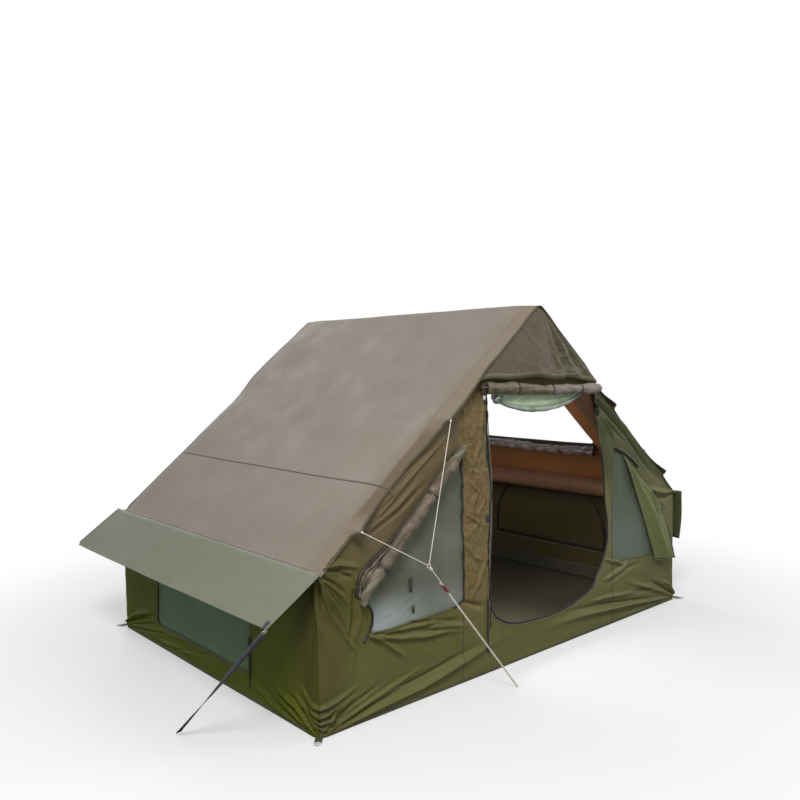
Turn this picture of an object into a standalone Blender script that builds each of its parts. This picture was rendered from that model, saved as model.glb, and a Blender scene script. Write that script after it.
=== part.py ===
"""An inflatable cabin tent: a house-shaped air frame that carries sewn cloth walls and a pitched roof.

Units are metres and +Z is up. The origin is the centre of the footprint, on the ground. The open
doorway faces -Y, the staked eave flap is on the -X side and the open roof light on the +X side.
"""

import math

import bmesh
import bpy
from mathutils import Matrix, Vector

# Tent body
HALF_WIDTH = 1.5
DEPTH = 2.1
EAVE_HEIGHT = 0.75
RIDGE_HEIGHT = 1.97
CLOTH = 0.003
GAP = 0.0003
CUT_OVERRUN = 0.05

# Air frame
BEAM_RADIUS = 0.065
SLEEVE_SPACE = 0.008
BEAM_BEND = 0.12
BEAM_ROUNDNESS = 6
BEND_CHORDS = 4

# Air valve, on the rear arch's left leg
VALVE_HEIGHT = 0.34
FLANGE_RADIUS = 0.026
FLANGE_THICKNESS = 0.003
STEM_RADIUS = 0.016
STEM_LENGTH = 0.016
CAP_RADIUS = 0.019
CAP_THICKNESS = 0.007
TURNED_STEPS = 24

# Groundsheet tub and its corner peg loops
TUB_HEIGHT = 0.1
LOOP_WIDTH = 0.036
LOOP_LENGTH = 0.055
LOOP_CORNER = 0.0178
PEG_HOLE_RADIUS = 0.009

# Doorway: the left edge is upright, the right edge is pulled aside and leans. Its top and the hoods
# are given as shares of the gable's rise over the eaves.
DOOR_LEFT = -0.39
DOOR_TOP_SHARE = 0.64
DOOR_TOP_RIGHT = 0.515
DOOR_SILL_RIGHT = 0.7576
DOOR_SILL = 0.205
DOOR_LEFT_CORNER = 0.2
DOOR_RIGHT_CORNER = 0.26
CORNER_CHORDS = 7
ZIP_WIDTH = 0.012
SEAM_STEP = 0.004

# Front windows, each a right-angled cut below the gable slope
PILLAR_EDGE_LEFT = -0.585
PILLAR_EDGE_RIGHT = 0.745
WINDOW_SILL = 0.4
LEFT_WINDOW_OUTER = 1.25
LEFT_WINDOW_TOP = 1.22
RIGHT_WINDOW_OUTER = 1.33
RIGHT_WINDOW_TOP = 1.11
WINDOW_OUTER_HEIGHT = 0.62
FRONT_WINDOW_CORNER = 0.05
WINDOW_SEAM = 0.02
NET = 0.002

# Side windows
SIDE_WINDOW_FRONT = -0.48
SIDE_WINDOW_REAR = 0.56
SIDE_WINDOW_SILL = 0.13
SIDE_WINDOW_TOP = 0.62
SIDE_WINDOW_CORNER = 0.07
ARCH_WINDOW_SILL = 0.235
ARCH_WINDOW_TOP = 0.67
ARCH_WINDOW_CORNER = 0.2

# Rear door, zipped shut
REAR_DOOR_WIDTH = 0.95
REAR_DOOR_CORNER = 0.16

# Roof cover: panel seam, overhang, guy tabs and roof light, measured up the slope from the eave
ROOF_SEAM = 0.52
ROOF_OVERHANG = 0.04
TAB_REACH = 0.035
TAB_HALF_WIDTH = 0.07
TAB_TIP_HALF_WIDTH = 0.012
LOWER_TAB = 0.25
UPPER_TAB = 0.985
SKYLIGHT_TOP = 1.5
SKYLIGHT_HALF_LENGTH = 0.68

# Eave flaps: the left one is staked out, the right one hangs down
FLAP_REACH = 0.325
FLAP_OVERHANG = 0.04
FLAP_TAPER = 0.012
FLAP_SEAM_DROP = 0.005
FLAP_DROOP = math.radians(33.7)

# Gable hoods
HOOD_TOP_SHARE = 0.943
HOOD_BOTTOM_SHARE = 0.668
HOOD_REACH = 0.095
REAR_HOOD_REACH = 0.03
HOOD_CLEARANCE = 0.012
HOOD_PLEAT = 0.006
HOOD_PLEAT_WAVES = 1.75

# Rolled door, its net and the cloth ties. Waves and shares count along a roll's or a cloth's length.
DOOR_ROLL_RADIUS = 0.034
DOOR_ROLL_LEFT = -0.445
DOOR_ROLL_RIGHT = 0.55
DOOR_ROLL_LEFT_DROP = 0.02
DOOR_ROLL_RIGHT_DROP = 0.058
DOOR_TIE_SHARES = (0.12, 0.5, 0.86)
ROLL_LUMP_SHARE = 0.12
ROLL_LONG_WAVES = 3.0
ROLL_SHORT_WAVES = 1.75
ROLL_PINCH_SHARE = 0.2
TIE_RADIUS = 0.002
SWAG_LEFT = -0.37
SWAG_RIGHT = 0.4
SWAG_DROP = 0.09
SWAG_HEM = 0.068
SWAG_BELLY = 0.025
SWAG_FULLNESS = 0.8
SWAG_HIDDEN_SHARE = 0.55

# Rolled window cover on the left, loose window cover on the right
COVER_ROLL_RADIUS = 0.033
COVER_ROLL_TAIL_RADIUS = 0.02
COVER_ROLL_TAIL = 0.17
COVER_TIE_SHARES = (0.3, 0.92)
COVER_TOP_INNER = (0.85, 1.05)
COVER_TOP_OUTER = (1.3, 0.67)
COVER_HEM_INNER = (1.05, 0.354)
COVER_HEM_OUTER = (1.353, 0.33)
COVER_FOLD_DEPTH = 0.085
COVER_STANDOFF = 0.024
COVER_CREST_SHARE = 0.25
COVER_CREST_WIDTH_SHARE = 0.2
COVER_RIPPLES = 1.6
COVER_RIPPLE_SHARE = 0.25
COVER_EDGE_SHARE = 0.2

# Rolled roof-light flap, and how far a side of its roll lies inside its radius at the roof panel
SKYLIGHT_ROLL_RADIUS = 0.036
SKYLIGHT_ROLL_FLAT = 0.0011

# Where each roll's swells start, in turns
DOOR_ROLL_SHIFT = 0.16
COVER_ROLL_SHIFT = 0.56
SKYLIGHT_ROLL_SHIFT = 0.35

# Folds of the hanging walls
FOLD_DEPTH = 0.017
FOLD_WIDTH = 0.035
FOLD_FADE_SHARE = 0.12

# Divisions of the soft pieces: across and up a cloth, or along a roll or a rope
FRONT_WALL_GRID = (14, 15)
LEFT_WALL_GRID = (22, 9)
HOOD_GRID = (16, 8)
SWAG_GRID = (18, 4)
COVER_GRID = (18, 10)
ROLL_RINGS = 29
SLANT_RINGS = 14
LEG_CHORDS = 12
LINE_CHORDS = 20

# Zip sliders, each with its pull cord
SLIDER_WIDTH = 0.012
SLIDER_LENGTH = 0.016
SLIDER_THICKNESS = 0.006
PULL_WIDTH = 0.006
SHORT_PULL = 0.07
LONG_PULL = 0.19
LEFT_SLIDER_HEIGHT = 0.43
RIGHT_SLIDER_HEIGHT = 0.6
SIDE_SLIDER_HEIGHT = 0.3
REAR_SLIDER_HEIGHT = 0.44

# Guy line: two upper legs, a ring, and a line doubled round the peg
ROPE_RADIUS = 0.0022
GUY_RING_RADIUS = 0.009
GUY_RING_WIRE = 0.002
GUY_JUNCTION = (-0.935, -1.169, 0.695)
GUY_PEG = (-0.43, -1.28, 0.004)
STRAND_SPACE = 0.016
LOOP_CHORDS = 6
ROPE_TAIL = 0.02
TENSIONER_SHARE = 0.18
TENSIONER_LENGTH = 0.045
TENSIONER_WIDTH = 0.032
TENSIONER_THICKNESS = 0.009
TENSIONER_BEVEL = 0.003
TENSIONER_CLEARANCE = 0.001

# Flap strap: webbing from a ring at the flap's corner to its peg
STRAP_WIDTH = 0.03
STRAP_THICKNESS = 0.002
STRAP_END = (-1.93, -0.575, 0.012)
STRAP_RING_RADIUS = 0.011
STRAP_RING_WIRE = 0.002

# Fold lines of the front walls and the left wall: start, end and strength. Places are shares of the
# panel's width and of the eave height.
FRONT_LEFT_FOLD_SHARES = (
    ((0.0, 0.92), (0.17, 0.3), 1.0),
    ((0.0, 0.9), (0.1, 0.12), 0.9),
    ((0.04, 0.05), (0.55, 0.3), 0.8),
    ((0.03, 0.04), (0.62, 0.17), 0.9),
    ((0.1, 0.03), (0.95, 0.12), 0.8),
    ((0.45, 0.38), (0.95, 0.44), 0.5),
)
FRONT_RIGHT_FOLD_SHARES = (
    ((1.0, 0.2), (0.68, 0.36), 0.8),
    ((1.0, 0.18), (0.6, 0.2), 0.9),
    ((0.98, 0.05), (0.1, 0.12), 0.9),
    ((0.02, 0.28), (0.42, 0.44), 0.8),
    ((0.0, 0.12), (0.5, 0.3), 0.5),
)
LEFT_WALL_FOLD_SHARES = (
    ((1.0, 0.9), (0.88, 0.1), 1.0),
    ((1.0, 0.05), (0.82, 0.1), 0.8),
    ((0.0, 0.05), (0.18, 0.13), 0.9),
    ((0.0, 0.1), (0.13, 0.5), 0.8),
    ((0.1, 0.03), (0.66, 0.07), 0.6),
)

WIDTH = 2 * HALF_WIDTH
RISE = RIDGE_HEIGHT - EAVE_HEIGHT
PITCH = math.atan2(RISE, HALF_WIDTH)
SLOPE_LENGTH = math.hypot(RISE, HALF_WIDTH)
DOOR_TOP = EAVE_HEIGHT + RISE * DOOR_TOP_SHARE
DOOR_LEAN = (DOOR_SILL_RIGHT - DOOR_TOP_RIGHT) / (DOOR_TOP - DOOR_SILL)
HOOD_TOP = EAVE_HEIGHT + RISE * HOOD_TOP_SHARE
HOOD_BOTTOM = EAVE_HEIGHT + RISE * HOOD_BOTTOM_SHARE
FLAP_HALF_LENGTH = DEPTH / 2 + FLAP_OVERHANG
WALL_FOOT = CLOTH + GAP
FRAME_INSET = 2 * (CLOTH + GAP) + SLEEVE_SPACE + BEAM_RADIUS
FRONT_PLANE = -DEPTH / 2
LEFT, RIGHT = -1, 1
FRONT, REAR = -1, 1

COLOURS = {
    "roof_cloth": ((0.27, 0.245, 0.215), 0.75, 0.0),
    "wall_cloth": ((0.085, 0.085, 0.032), 0.8, 0.0),
    "flap_cloth": ((0.165, 0.18, 0.13), 0.75, 0.0),
    "net": ((0.15, 0.165, 0.12), 0.85, 0.0),
    "tub_cloth": ((0.03, 0.027, 0.022), 0.55, 0.0),
    "lining": ((0.19, 0.07, 0.03), 0.7, 0.0),
    "rolled_cloth": ((0.2, 0.155, 0.12), 0.75, 0.0),
    "zip": ((0.01, 0.01, 0.01), 0.5, 0.0),
    "webbing": ((0.02, 0.024, 0.05), 0.75, 0.0),
    "rope": ((0.78, 0.68, 0.56), 0.8, 0.0),
    "red_plastic": ((0.35, 0.02, 0.025), 0.4, 0.0),
    "metal": ((0.7, 0.7, 0.72), 0.3, 1.0),
    "valve_plastic": ((0.03, 0.03, 0.03), 0.45, 0.0),
}


def clear_scene():
    for old in list(bpy.data.objects):
        bpy.data.objects.remove(old, do_unlink=True)


def new_collection(name):
    collection = bpy.data.collections.new(name)
    bpy.context.scene.collection.children.link(collection)
    return collection


def finish_of(name):
    """The named Principled material, made the first time that it is asked for."""
    if name in bpy.data.materials:
        return bpy.data.materials[name]
    colour, roughness, metallic = COLOURS[name]
    material = bpy.data.materials.new(name)
    material.use_nodes = True
    shader = material.node_tree.nodes["Principled BSDF"]
    shader.inputs["Base Color"].default_value = (*colour, 1)
    shader.inputs["Roughness"].default_value = roughness
    shader.inputs["Metallic"].default_value = metallic
    return material


def add(name, data, finish, frame=None, carrier=None):
    """A piece of the tent, placed by its frame. A carrier is the empty on its joint's axis."""
    piece = bpy.data.objects.new(name, data)
    TENT.objects.link(piece)
    data.materials.append(finish_of(finish))
    frame = frame or Matrix()
    if carrier:
        piece.parent = carrier
        piece.matrix_local = carrier.matrix_world.inverted() @ frame
    else:
        piece.matrix_world = frame
    return piece


def joint_empty(name, place, carrier=None):
    empty = bpy.data.objects.new(name, None)
    TENT.objects.link(empty)
    if carrier:
        empty.parent = carrier
        empty.matrix_local = carrier.matrix_world.inverted() @ Matrix.Translation(place)
    else:
        empty.location = place
    bpy.context.view_layer.update()
    return empty


def axes_frame(place, x_axis, y_axis):
    """A frame at a place, from the directions of its X and Y axes."""
    x_axis = Vector(x_axis).normalized()
    y_axis = Vector(y_axis).normalized()
    turn = Matrix((x_axis, y_axis, x_axis.cross(y_axis))).transposed()
    return Matrix.Translation(place) @ turn.to_4x4()


def rounded(corners, closed=True):
    """A flat outline whose corners (x, y, radius) are replaced by arcs."""
    points = []
    count = len(corners)
    for index, (x, y, radius) in enumerate(corners):
        corner = Vector((x, y))
        at_end = not closed and index in (0, count - 1)
        if at_end or radius <= 0:
            points.append(corner)
            continue
        before = (Vector(corners[index - 1][:2]) - corner).normalized()
        after = (Vector(corners[(index + 1) % count][:2]) - corner).normalized()
        half = before.angle(after) / 2
        centre = corner + (before + after).normalized() * radius / math.sin(half)
        reach = radius / math.tan(half)
        start = corner + before * reach - centre
        end = corner + after * reach - centre
        turn = start.angle_signed(end)
        for step in range(CORNER_CHORDS + 1):
            angle = -turn * step / CORNER_CHORDS
            arm = Matrix.Rotation(angle, 2) @ start
            points.append(centre + arm)
    return points


def flat_piece(name, outlines, thickness, frame, finish, carrier=None):
    """A flat sheet centred on its frame's XY plane. Outlines inside the first one are holes."""
    curve = bpy.data.curves.new(name, "CURVE")
    curve.dimensions = "2D"
    curve.fill_mode = "BOTH"
    curve.extrude = thickness / 2
    for outline in outlines:
        spline = curve.splines.new("POLY")
        spline.points.add(len(outline) - 1)
        for point, place in zip(spline.points, outline):
            point.co = (place[0], place[1], 0, 1)
        spline.use_cyclic_u = True
        spline.use_smooth = False
    return add(name, curve, finish, frame, carrier)


def tube(name, points, radius, finish, sides=2, swell=None, cyclic=False, carrier=None):
    """A round tube along a line of points. The swell is each point's share of the radius."""
    curve = bpy.data.curves.new(name, "CURVE")
    curve.dimensions = "3D"
    curve.fill_mode = "FULL"
    curve.bevel_depth = radius
    curve.bevel_resolution = sides
    curve.use_fill_caps = True
    spline = curve.splines.new("POLY")
    spline.points.add(len(points) - 1)
    for index, (point, place) in enumerate(zip(spline.points, points)):
        point.co = (*place, 1)
        point.radius = swell[index] if swell else 1
    spline.use_cyclic_u = cyclic
    return add(name, curve, finish, None, carrier)


def cloth_sheet(name, divisions, place, thickness, finish, carrier=None):
    """A cloth piece: a grid, moved to place(u, v) with u and v from 0 to 1, and given thickness."""
    columns, rows = divisions
    grid = bmesh.new()
    bmesh.ops.create_grid(grid, x_segments=columns, y_segments=rows, size=1)
    for vertex in grid.verts:
        vertex.co = place((vertex.co.x + 1) / 2, (vertex.co.y + 1) / 2)
    mesh = bpy.data.meshes.new(name)
    grid.to_mesh(mesh)
    grid.free()
    mesh.shade_smooth()
    piece = add(name, mesh, finish, None, carrier)
    solid = piece.modifiers.new("Cloth", "SOLIDIFY")
    solid.thickness = thickness
    return piece


def block_mesh(name, size, foot):
    """A box of a size, centred over the origin, with its underside at a height."""
    shape = bmesh.new()
    bmesh.ops.create_cube(shape, size=1)
    bmesh.ops.scale(shape, vec=size, verts=shape.verts)
    bmesh.ops.translate(shape, vec=(0, 0, foot + size[2] / 2), verts=shape.verts)
    mesh = bpy.data.meshes.new(name)
    shape.to_mesh(mesh)
    shape.free()
    return mesh


def helper(mesh):
    """A hidden shape that a Boolean uses."""
    shape = bpy.data.objects.new(mesh.name, mesh)
    CUTTERS.objects.link(shape)
    shape.hide_render = True
    shape.display_type = "WIRE"
    return shape


def combine(piece, shape, operation):
    step = piece.modifiers.new(shape.name, "BOOLEAN")
    step.operation = operation
    step.solver = "EXACT"
    step.object = shape


def prism_cutter(name, outline, frame, depth):
    """A cutter that fills an outline on its frame's XY plane, to a depth on both sides."""
    shape = bmesh.new()
    base = [shape.verts.new((x, y, -depth)) for x, y in outline]
    face = shape.faces.new(base)
    made = bmesh.ops.extrude_face_region(shape, geom=[face])["geom"]
    moved = [part for part in made if isinstance(part, bmesh.types.BMVert)]
    bmesh.ops.translate(shape, verts=moved, vec=(0, 0, 2 * depth))
    bmesh.ops.recalc_face_normals(shape, faces=shape.faces)
    mesh = bpy.data.meshes.new(name)
    shape.to_mesh(mesh)
    shape.free()
    cutter = helper(mesh)
    cutter.matrix_world = frame
    return cutter


def turned(name, profile, frame, finish, carrier=None):
    """A solid of revolution about its frame's Z axis, from (radius, height) points, top to bottom."""
    shape = bmesh.new()
    verts = [shape.verts.new((radius, 0, height)) for radius, height in profile]
    for first, second in zip(verts, verts[1:]):
        shape.edges.new((first, second))
    mesh = bpy.data.meshes.new(name)
    shape.to_mesh(mesh)
    shape.free()
    piece = add(name, mesh, finish, frame, carrier)
    spin = piece.modifiers.new("Turned", "SCREW")
    spin.steps = TURNED_STEPS
    spin.render_steps = TURNED_STEPS
    spin.use_merge_vertices = True
    spin.merge_threshold = GAP / 10
    return piece


def along(start, end, share):
    return Vector(start).lerp(Vector(end), share)


def line_points(start, end, chords):
    """The points that divide a straight line, with both its ends."""
    return [along(start, end, step / chords) for step in range(chords + 1)]


def circle_turns():
    return [math.tau * step / TURNED_STEPS for step in range(TURNED_STEPS)]


def ring(name, frame, radius, wire, finish, sides=2, carrier=None):
    """A closed round ring on its frame's XY plane."""
    circle = [
        frame @ (Vector((math.cos(turn), math.sin(turn), 0)) * radius)
        for turn in circle_turns()
    ]
    return tube(name, circle, wire, finish, sides, None, True, carrier)


def slope_height(x):
    """The height of the roof's outer face at a distance from the ridge plane."""
    return EAVE_HEIGHT + (WIDTH / 2 - abs(x)) * math.tan(PITCH)


def wall_top(x):
    """The top of a gable wall, which stops under the roof cover."""
    return slope_height(x) - (CLOTH + 2 * GAP) / math.cos(PITCH)


def upright_frame(side):
    """A frame in the middle of the front or rear wall, X across the tent and Y up."""
    place = (0, side * (DEPTH / 2 - CLOTH / 2), 0)
    return axes_frame(place, (1, 0, 0), (0, 0, 1))


def side_frame(side):
    """A frame in the middle of a side wall, X towards the rear and Y up."""
    place = (side * (WIDTH / 2 - CLOTH / 2), 0, 0)
    return axes_frame(place, (0, 1, 0), (0, 0, 1))


def door_right(height, inset=0):
    return DOOR_TOP_RIGHT + (DOOR_TOP - height) * DOOR_LEAN - inset * math.hypot(1, DOOR_LEAN)


def door_edge(inset):
    """The doorway's edge from its top left round the sill to its top right, moved inwards."""
    sill = DOOR_SILL + inset
    left = DOOR_LEFT + inset
    corners = [
        (left, DOOR_TOP - GAP, 0),
        (left, sill, DOOR_LEFT_CORNER - inset),
        (door_right(sill, inset), sill, DOOR_RIGHT_CORNER - inset),
        (door_right(DOOR_TOP, inset), DOOR_TOP - GAP, 0),
    ]
    return rounded(corners, closed=False)


def fold_relief(x_share, z, width, shares):
    """How far the folds push a wall outwards at a share of its width and at a height."""
    push = 0.0
    for start, end, strength in shares:
        first = Vector((start[0] * width, start[1] * EAVE_HEIGHT))
        last = Vector((end[0] * width, end[1] * EAVE_HEIGHT))
        spot = Vector((x_share * width, z))
        run = last - first
        travel = min(1, max(0, (spot - first).dot(run) / run.dot(run)))
        distance = (spot - (first + run * travel)).length
        swell = strength * math.exp(-((distance / FOLD_WIDTH) ** 2))
        push = max(push, swell * (1 - travel / 2))
    return FOLD_DEPTH * push


def seam_fade(share):
    """0 at a seam, 1 away from it, level at both ends."""
    travel = min(1, min(share, 1 - share) / FOLD_FADE_SHARE)
    return travel * travel * (3 - 2 * travel)


def front_wall_sheet(name, inner_x, outer_x, fold_shares):
    """A front wall panel between a pillar and a side wall, folded towards its foot."""
    left, right = min(inner_x, outer_x), max(inner_x, outer_x)

    def place(u, v):
        x = left + (right - left) * u
        z = WALL_FOOT + (wall_top(x) - WALL_FOOT) * v
        relief = fold_relief(u, z, right - left, fold_shares) * seam_fade(u)
        return Vector((x, FRONT_PLANE - relief * seam_fade(v / 2 + FOLD_FADE_SHARE), z))

    return cloth_sheet(name, FRONT_WALL_GRID, place, CLOTH, "wall_cloth")


def front_window(side, inset):
    """The outline of a front window: upright inner edge, level sill and slanted outer edge."""
    if side == LEFT:
        inner, outer, top = -PILLAR_EDGE_LEFT + WINDOW_SEAM, LEFT_WINDOW_OUTER, LEFT_WINDOW_TOP
    else:
        inner, outer, top = PILLAR_EDGE_RIGHT + WINDOW_SEAM, RIGHT_WINDOW_OUTER, RIGHT_WINDOW_TOP
    steepness = (top - WINDOW_OUTER_HEIGHT) / (outer - inner)
    slant_drop = inset * math.hypot(1, steepness)
    return rounded([
        (side * (inner + inset), WINDOW_SILL + inset, FRONT_WINDOW_CORNER),
        (side * (inner + inset), top - inset * steepness - slant_drop, 0),
        (side * (outer - inset), WINDOW_OUTER_HEIGHT + inset * steepness - slant_drop, 0),
        (side * (outer - inset), WINDOW_SILL + inset, FRONT_WINDOW_CORNER),
    ])


def front_walls():
    """The sewn panels of the front wall round the doorway, with the nets in their windows."""
    frame = upright_frame(FRONT)
    foot = WALL_FOOT
    half_gap = GAP / 2
    sheets = (
        ("left", LEFT, PILLAR_EDGE_LEFT - half_gap, FRONT_LEFT_FOLD_SHARES),
        ("right", RIGHT, PILLAR_EDGE_RIGHT + half_gap, FRONT_RIGHT_FOLD_SHARES),
    )
    for side_name, side, inner, folds in sheets:
        wall = front_wall_sheet("front_wall_" + side_name, inner, side * WIDTH / 2, folds)
        outline = front_window(side, 0)
        opening = prism_cutter("front_window_" + side_name, outline, frame, CUT_OVERRUN)
        combine(wall, opening, "DIFFERENCE")
        flat_piece("front_net_" + side_name, [front_window(side, GAP)], NET, frame, "net")

    pillar_inner = DOOR_LEFT - half_gap
    pillar_outer = PILLAR_EDGE_LEFT + half_gap
    pillar = [
        (pillar_outer, foot),
        (pillar_inner, foot),
        (pillar_inner, wall_top(pillar_inner)),
        (pillar_outer, wall_top(pillar_outer)),
    ]
    flat_piece("front_pillar_left", [pillar], CLOTH, frame, "wall_cloth")

    edge = door_edge(0)
    arc_end = edge[-2]
    sill_top = [point for point in edge[1:-1] if point.x > DOOR_LEFT + SEAM_STEP]
    sill_left = DOOR_LEFT + half_gap
    sill_right = PILLAR_EDGE_RIGHT - half_gap
    sill = [
        (sill_left, foot),
        (sill_right, foot),
        (sill_right, arc_end.y - half_gap),
        *reversed([(point.x, min(point.y, arc_end.y - half_gap)) for point in sill_top]),
        (sill_left, sill_top[0].y),
    ]
    flat_piece("front_wall_sill", [sill], CLOTH, frame, "wall_cloth")

    over_door = wall_top(DOOR_TOP_RIGHT) - DOOR_TOP
    lean_top = DOOR_TOP + over_door / (1 - DOOR_LEAN * math.tan(PITCH))
    pillar_right = [
        (door_right(arc_end.y + half_gap), arc_end.y + half_gap),
        (sill_right, arc_end.y + half_gap),
        (sill_right, wall_top(sill_right)),
        (door_right(lean_top) + half_gap, wall_top(door_right(lean_top) + half_gap)),
        (door_right(DOOR_TOP) + half_gap, DOOR_TOP),
    ]
    flat_piece("front_pillar_right", [pillar_right], CLOTH, frame, "wall_cloth")

    gable = [
        (DOOR_LEFT + half_gap, DOOR_TOP),
        (door_right(DOOR_TOP) - half_gap, DOOR_TOP),
        (door_right(lean_top) - half_gap, wall_top(door_right(lean_top) - half_gap)),
        (0, wall_top(0)),
        (DOOR_LEFT + half_gap, wall_top(DOOR_LEFT)),
    ]
    flat_piece("front_gable", [gable], CLOTH, frame, "wall_cloth")

    inner_edge = door_edge(ZIP_WIDTH)
    band = door_edge(GAP) + list(reversed(inner_edge))
    flat_piece("door_zip", [band], CLOTH, frame, "zip")


def rear_door_outline(inset):
    half = REAR_DOOR_WIDTH / 2 - inset
    corner = REAR_DOOR_CORNER
    return rounded([
        (-half, DOOR_SILL + inset, corner),
        (half, DOOR_SILL + inset, corner),
        (half, DOOR_TOP - inset, corner / 2),
        (-half, DOOR_TOP - inset, corner / 2),
    ])


def rear_wall():
    """The rear gable wall and the door that closes it."""
    frame = upright_frame(REAR)
    edge = WIDTH / 2
    wall = [
        (-edge, WALL_FOOT),
        (edge, WALL_FOOT),
        (edge, wall_top(edge)),
        (0, wall_top(0)),
        (-edge, wall_top(edge)),
    ]
    flat_piece("rear_wall", [wall, rear_door_outline(0)], CLOTH, frame, "wall_cloth")
    flat_piece("rear_door", [rear_door_outline(GAP)], CLOTH, frame, "wall_cloth")


def side_window_outline(inset):
    corner = SIDE_WINDOW_CORNER
    front = SIDE_WINDOW_FRONT + inset
    rear = SIDE_WINDOW_REAR - inset
    sill = SIDE_WINDOW_SILL + inset
    top = SIDE_WINDOW_TOP - inset
    return rounded([
        (front, sill, corner),
        (rear, sill, corner),
        (rear, top, corner),
        (front, top, corner),
    ])


def arch_window_outline(inset):
    front = SIDE_WINDOW_FRONT + inset
    rear = SIDE_WINDOW_REAR - inset
    sill = ARCH_WINDOW_SILL + inset
    top = ARCH_WINDOW_TOP - inset
    return rounded([
        (front, sill, SIDE_WINDOW_CORNER),
        (rear, sill, SIDE_WINDOW_CORNER),
        (rear, top, ARCH_WINDOW_CORNER),
        (front, top, ARCH_WINDOW_CORNER),
    ])


def side_walls():
    """The two low side walls, one with a net window and one with its arched cover zipped shut."""
    top = EAVE_HEIGHT - CLOTH - 2 * GAP
    half = DEPTH / 2 - CLOTH - GAP

    def place(u, v):
        y = half - 2 * half * u
        z = WALL_FOOT + (top - WALL_FOOT) * v
        relief = fold_relief(u, z, 2 * half, LEFT_WALL_FOLD_SHARES) * seam_fade(u)
        relief *= seam_fade(v / 2 + FOLD_FADE_SHARE)
        return Vector((-WIDTH / 2 - relief, y, z))

    left_frame = side_frame(LEFT)
    wall = cloth_sheet("left_wall", LEFT_WALL_GRID, place, CLOTH, "wall_cloth")
    outline = side_window_outline(0)
    opening = prism_cutter("side_window", outline, left_frame, CUT_OVERRUN)
    combine(wall, opening, "DIFFERENCE")
    flat_piece("side_net", [side_window_outline(GAP)], NET, left_frame, "net")

    right_frame = side_frame(RIGHT)
    panel = [(-half, WALL_FOOT), (half, WALL_FOOT), (half, top), (-half, top)]
    outlines = [panel, arch_window_outline(0)]
    flat_piece("right_wall", outlines, CLOTH, right_frame, "wall_cloth")
    closed_cover = [arch_window_outline(GAP)]
    flat_piece("arch_window_cover", closed_cover, CLOTH, right_frame, "wall_cloth")


def floor_tub():
    """The groundsheet: a plate under the walls with an upstand inside them."""
    half_width = WIDTH / 2
    half_depth = DEPTH / 2
    outer = 2 * (CLOTH + GAP)
    inner = outer + 2 * CLOTH
    plate = block_mesh("floor_tub", (WIDTH, DEPTH, CLOTH), 0)
    upstand = block_mesh("tub_upstand", (WIDTH - outer, DEPTH - outer, TUB_HEIGHT), 0)
    room = block_mesh("tub_room", (WIDTH - inner, DEPTH - inner, TUB_HEIGHT), CLOTH)
    tub = add("floor_tub", plate, "tub_cloth")
    combine(tub, helper(upstand), "UNION")
    combine(tub, helper(room), "DIFFERENCE")

    for side_name, side in (("left", LEFT), ("right", RIGHT)):
        for end_name, end in (("front", FRONT), ("rear", REAR)):
            outward = Vector((side, end, 0)).normalized()
            across = Vector((0, 0, 1)).cross(outward)
            start = Vector((side * half_width, end * half_depth, CLOTH / 2)) + outward * GAP
            frame = axes_frame(start, outward, across)
            half = LOOP_WIDTH / 2
            strip = rounded([
                (0, -half, 0),
                (LOOP_LENGTH, -half, LOOP_CORNER),
                (LOOP_LENGTH, half, LOOP_CORNER),
                (0, half, 0),
            ])
            hole_x = LOOP_LENGTH - half
            hole = [
                (hole_x + PEG_HOLE_RADIUS * math.cos(turn), PEG_HOLE_RADIUS * math.sin(turn))
                for turn in circle_turns()
            ]
            name = f"peg_loop_{end_name}_{side_name}"
            flat_piece(name, [strip, hole], CLOTH, frame, "webbing")


def bent_line(corners, radius):
    """A line through corners in the XZ plane, its inner corners rounded for a welded tube."""
    points = []
    for index, corner in enumerate(corners):
        if index in (0, len(corners) - 1):
            points.append(corner)
            continue
        before = (corners[index - 1] - corner).normalized()
        after = (corners[index + 1] - corner).normalized()
        half = before.angle(after) / 2
        centre = corner + (before + after).normalized() * radius / math.sin(half)
        start = corner + before * radius / math.tan(half) - centre
        end = corner + after * radius / math.tan(half) - centre
        for step in range(BEND_CHORDS + 1):
            points.append(centre + start.slerp(end, step / BEND_CHORDS).normalized() * radius)
    return points


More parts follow.
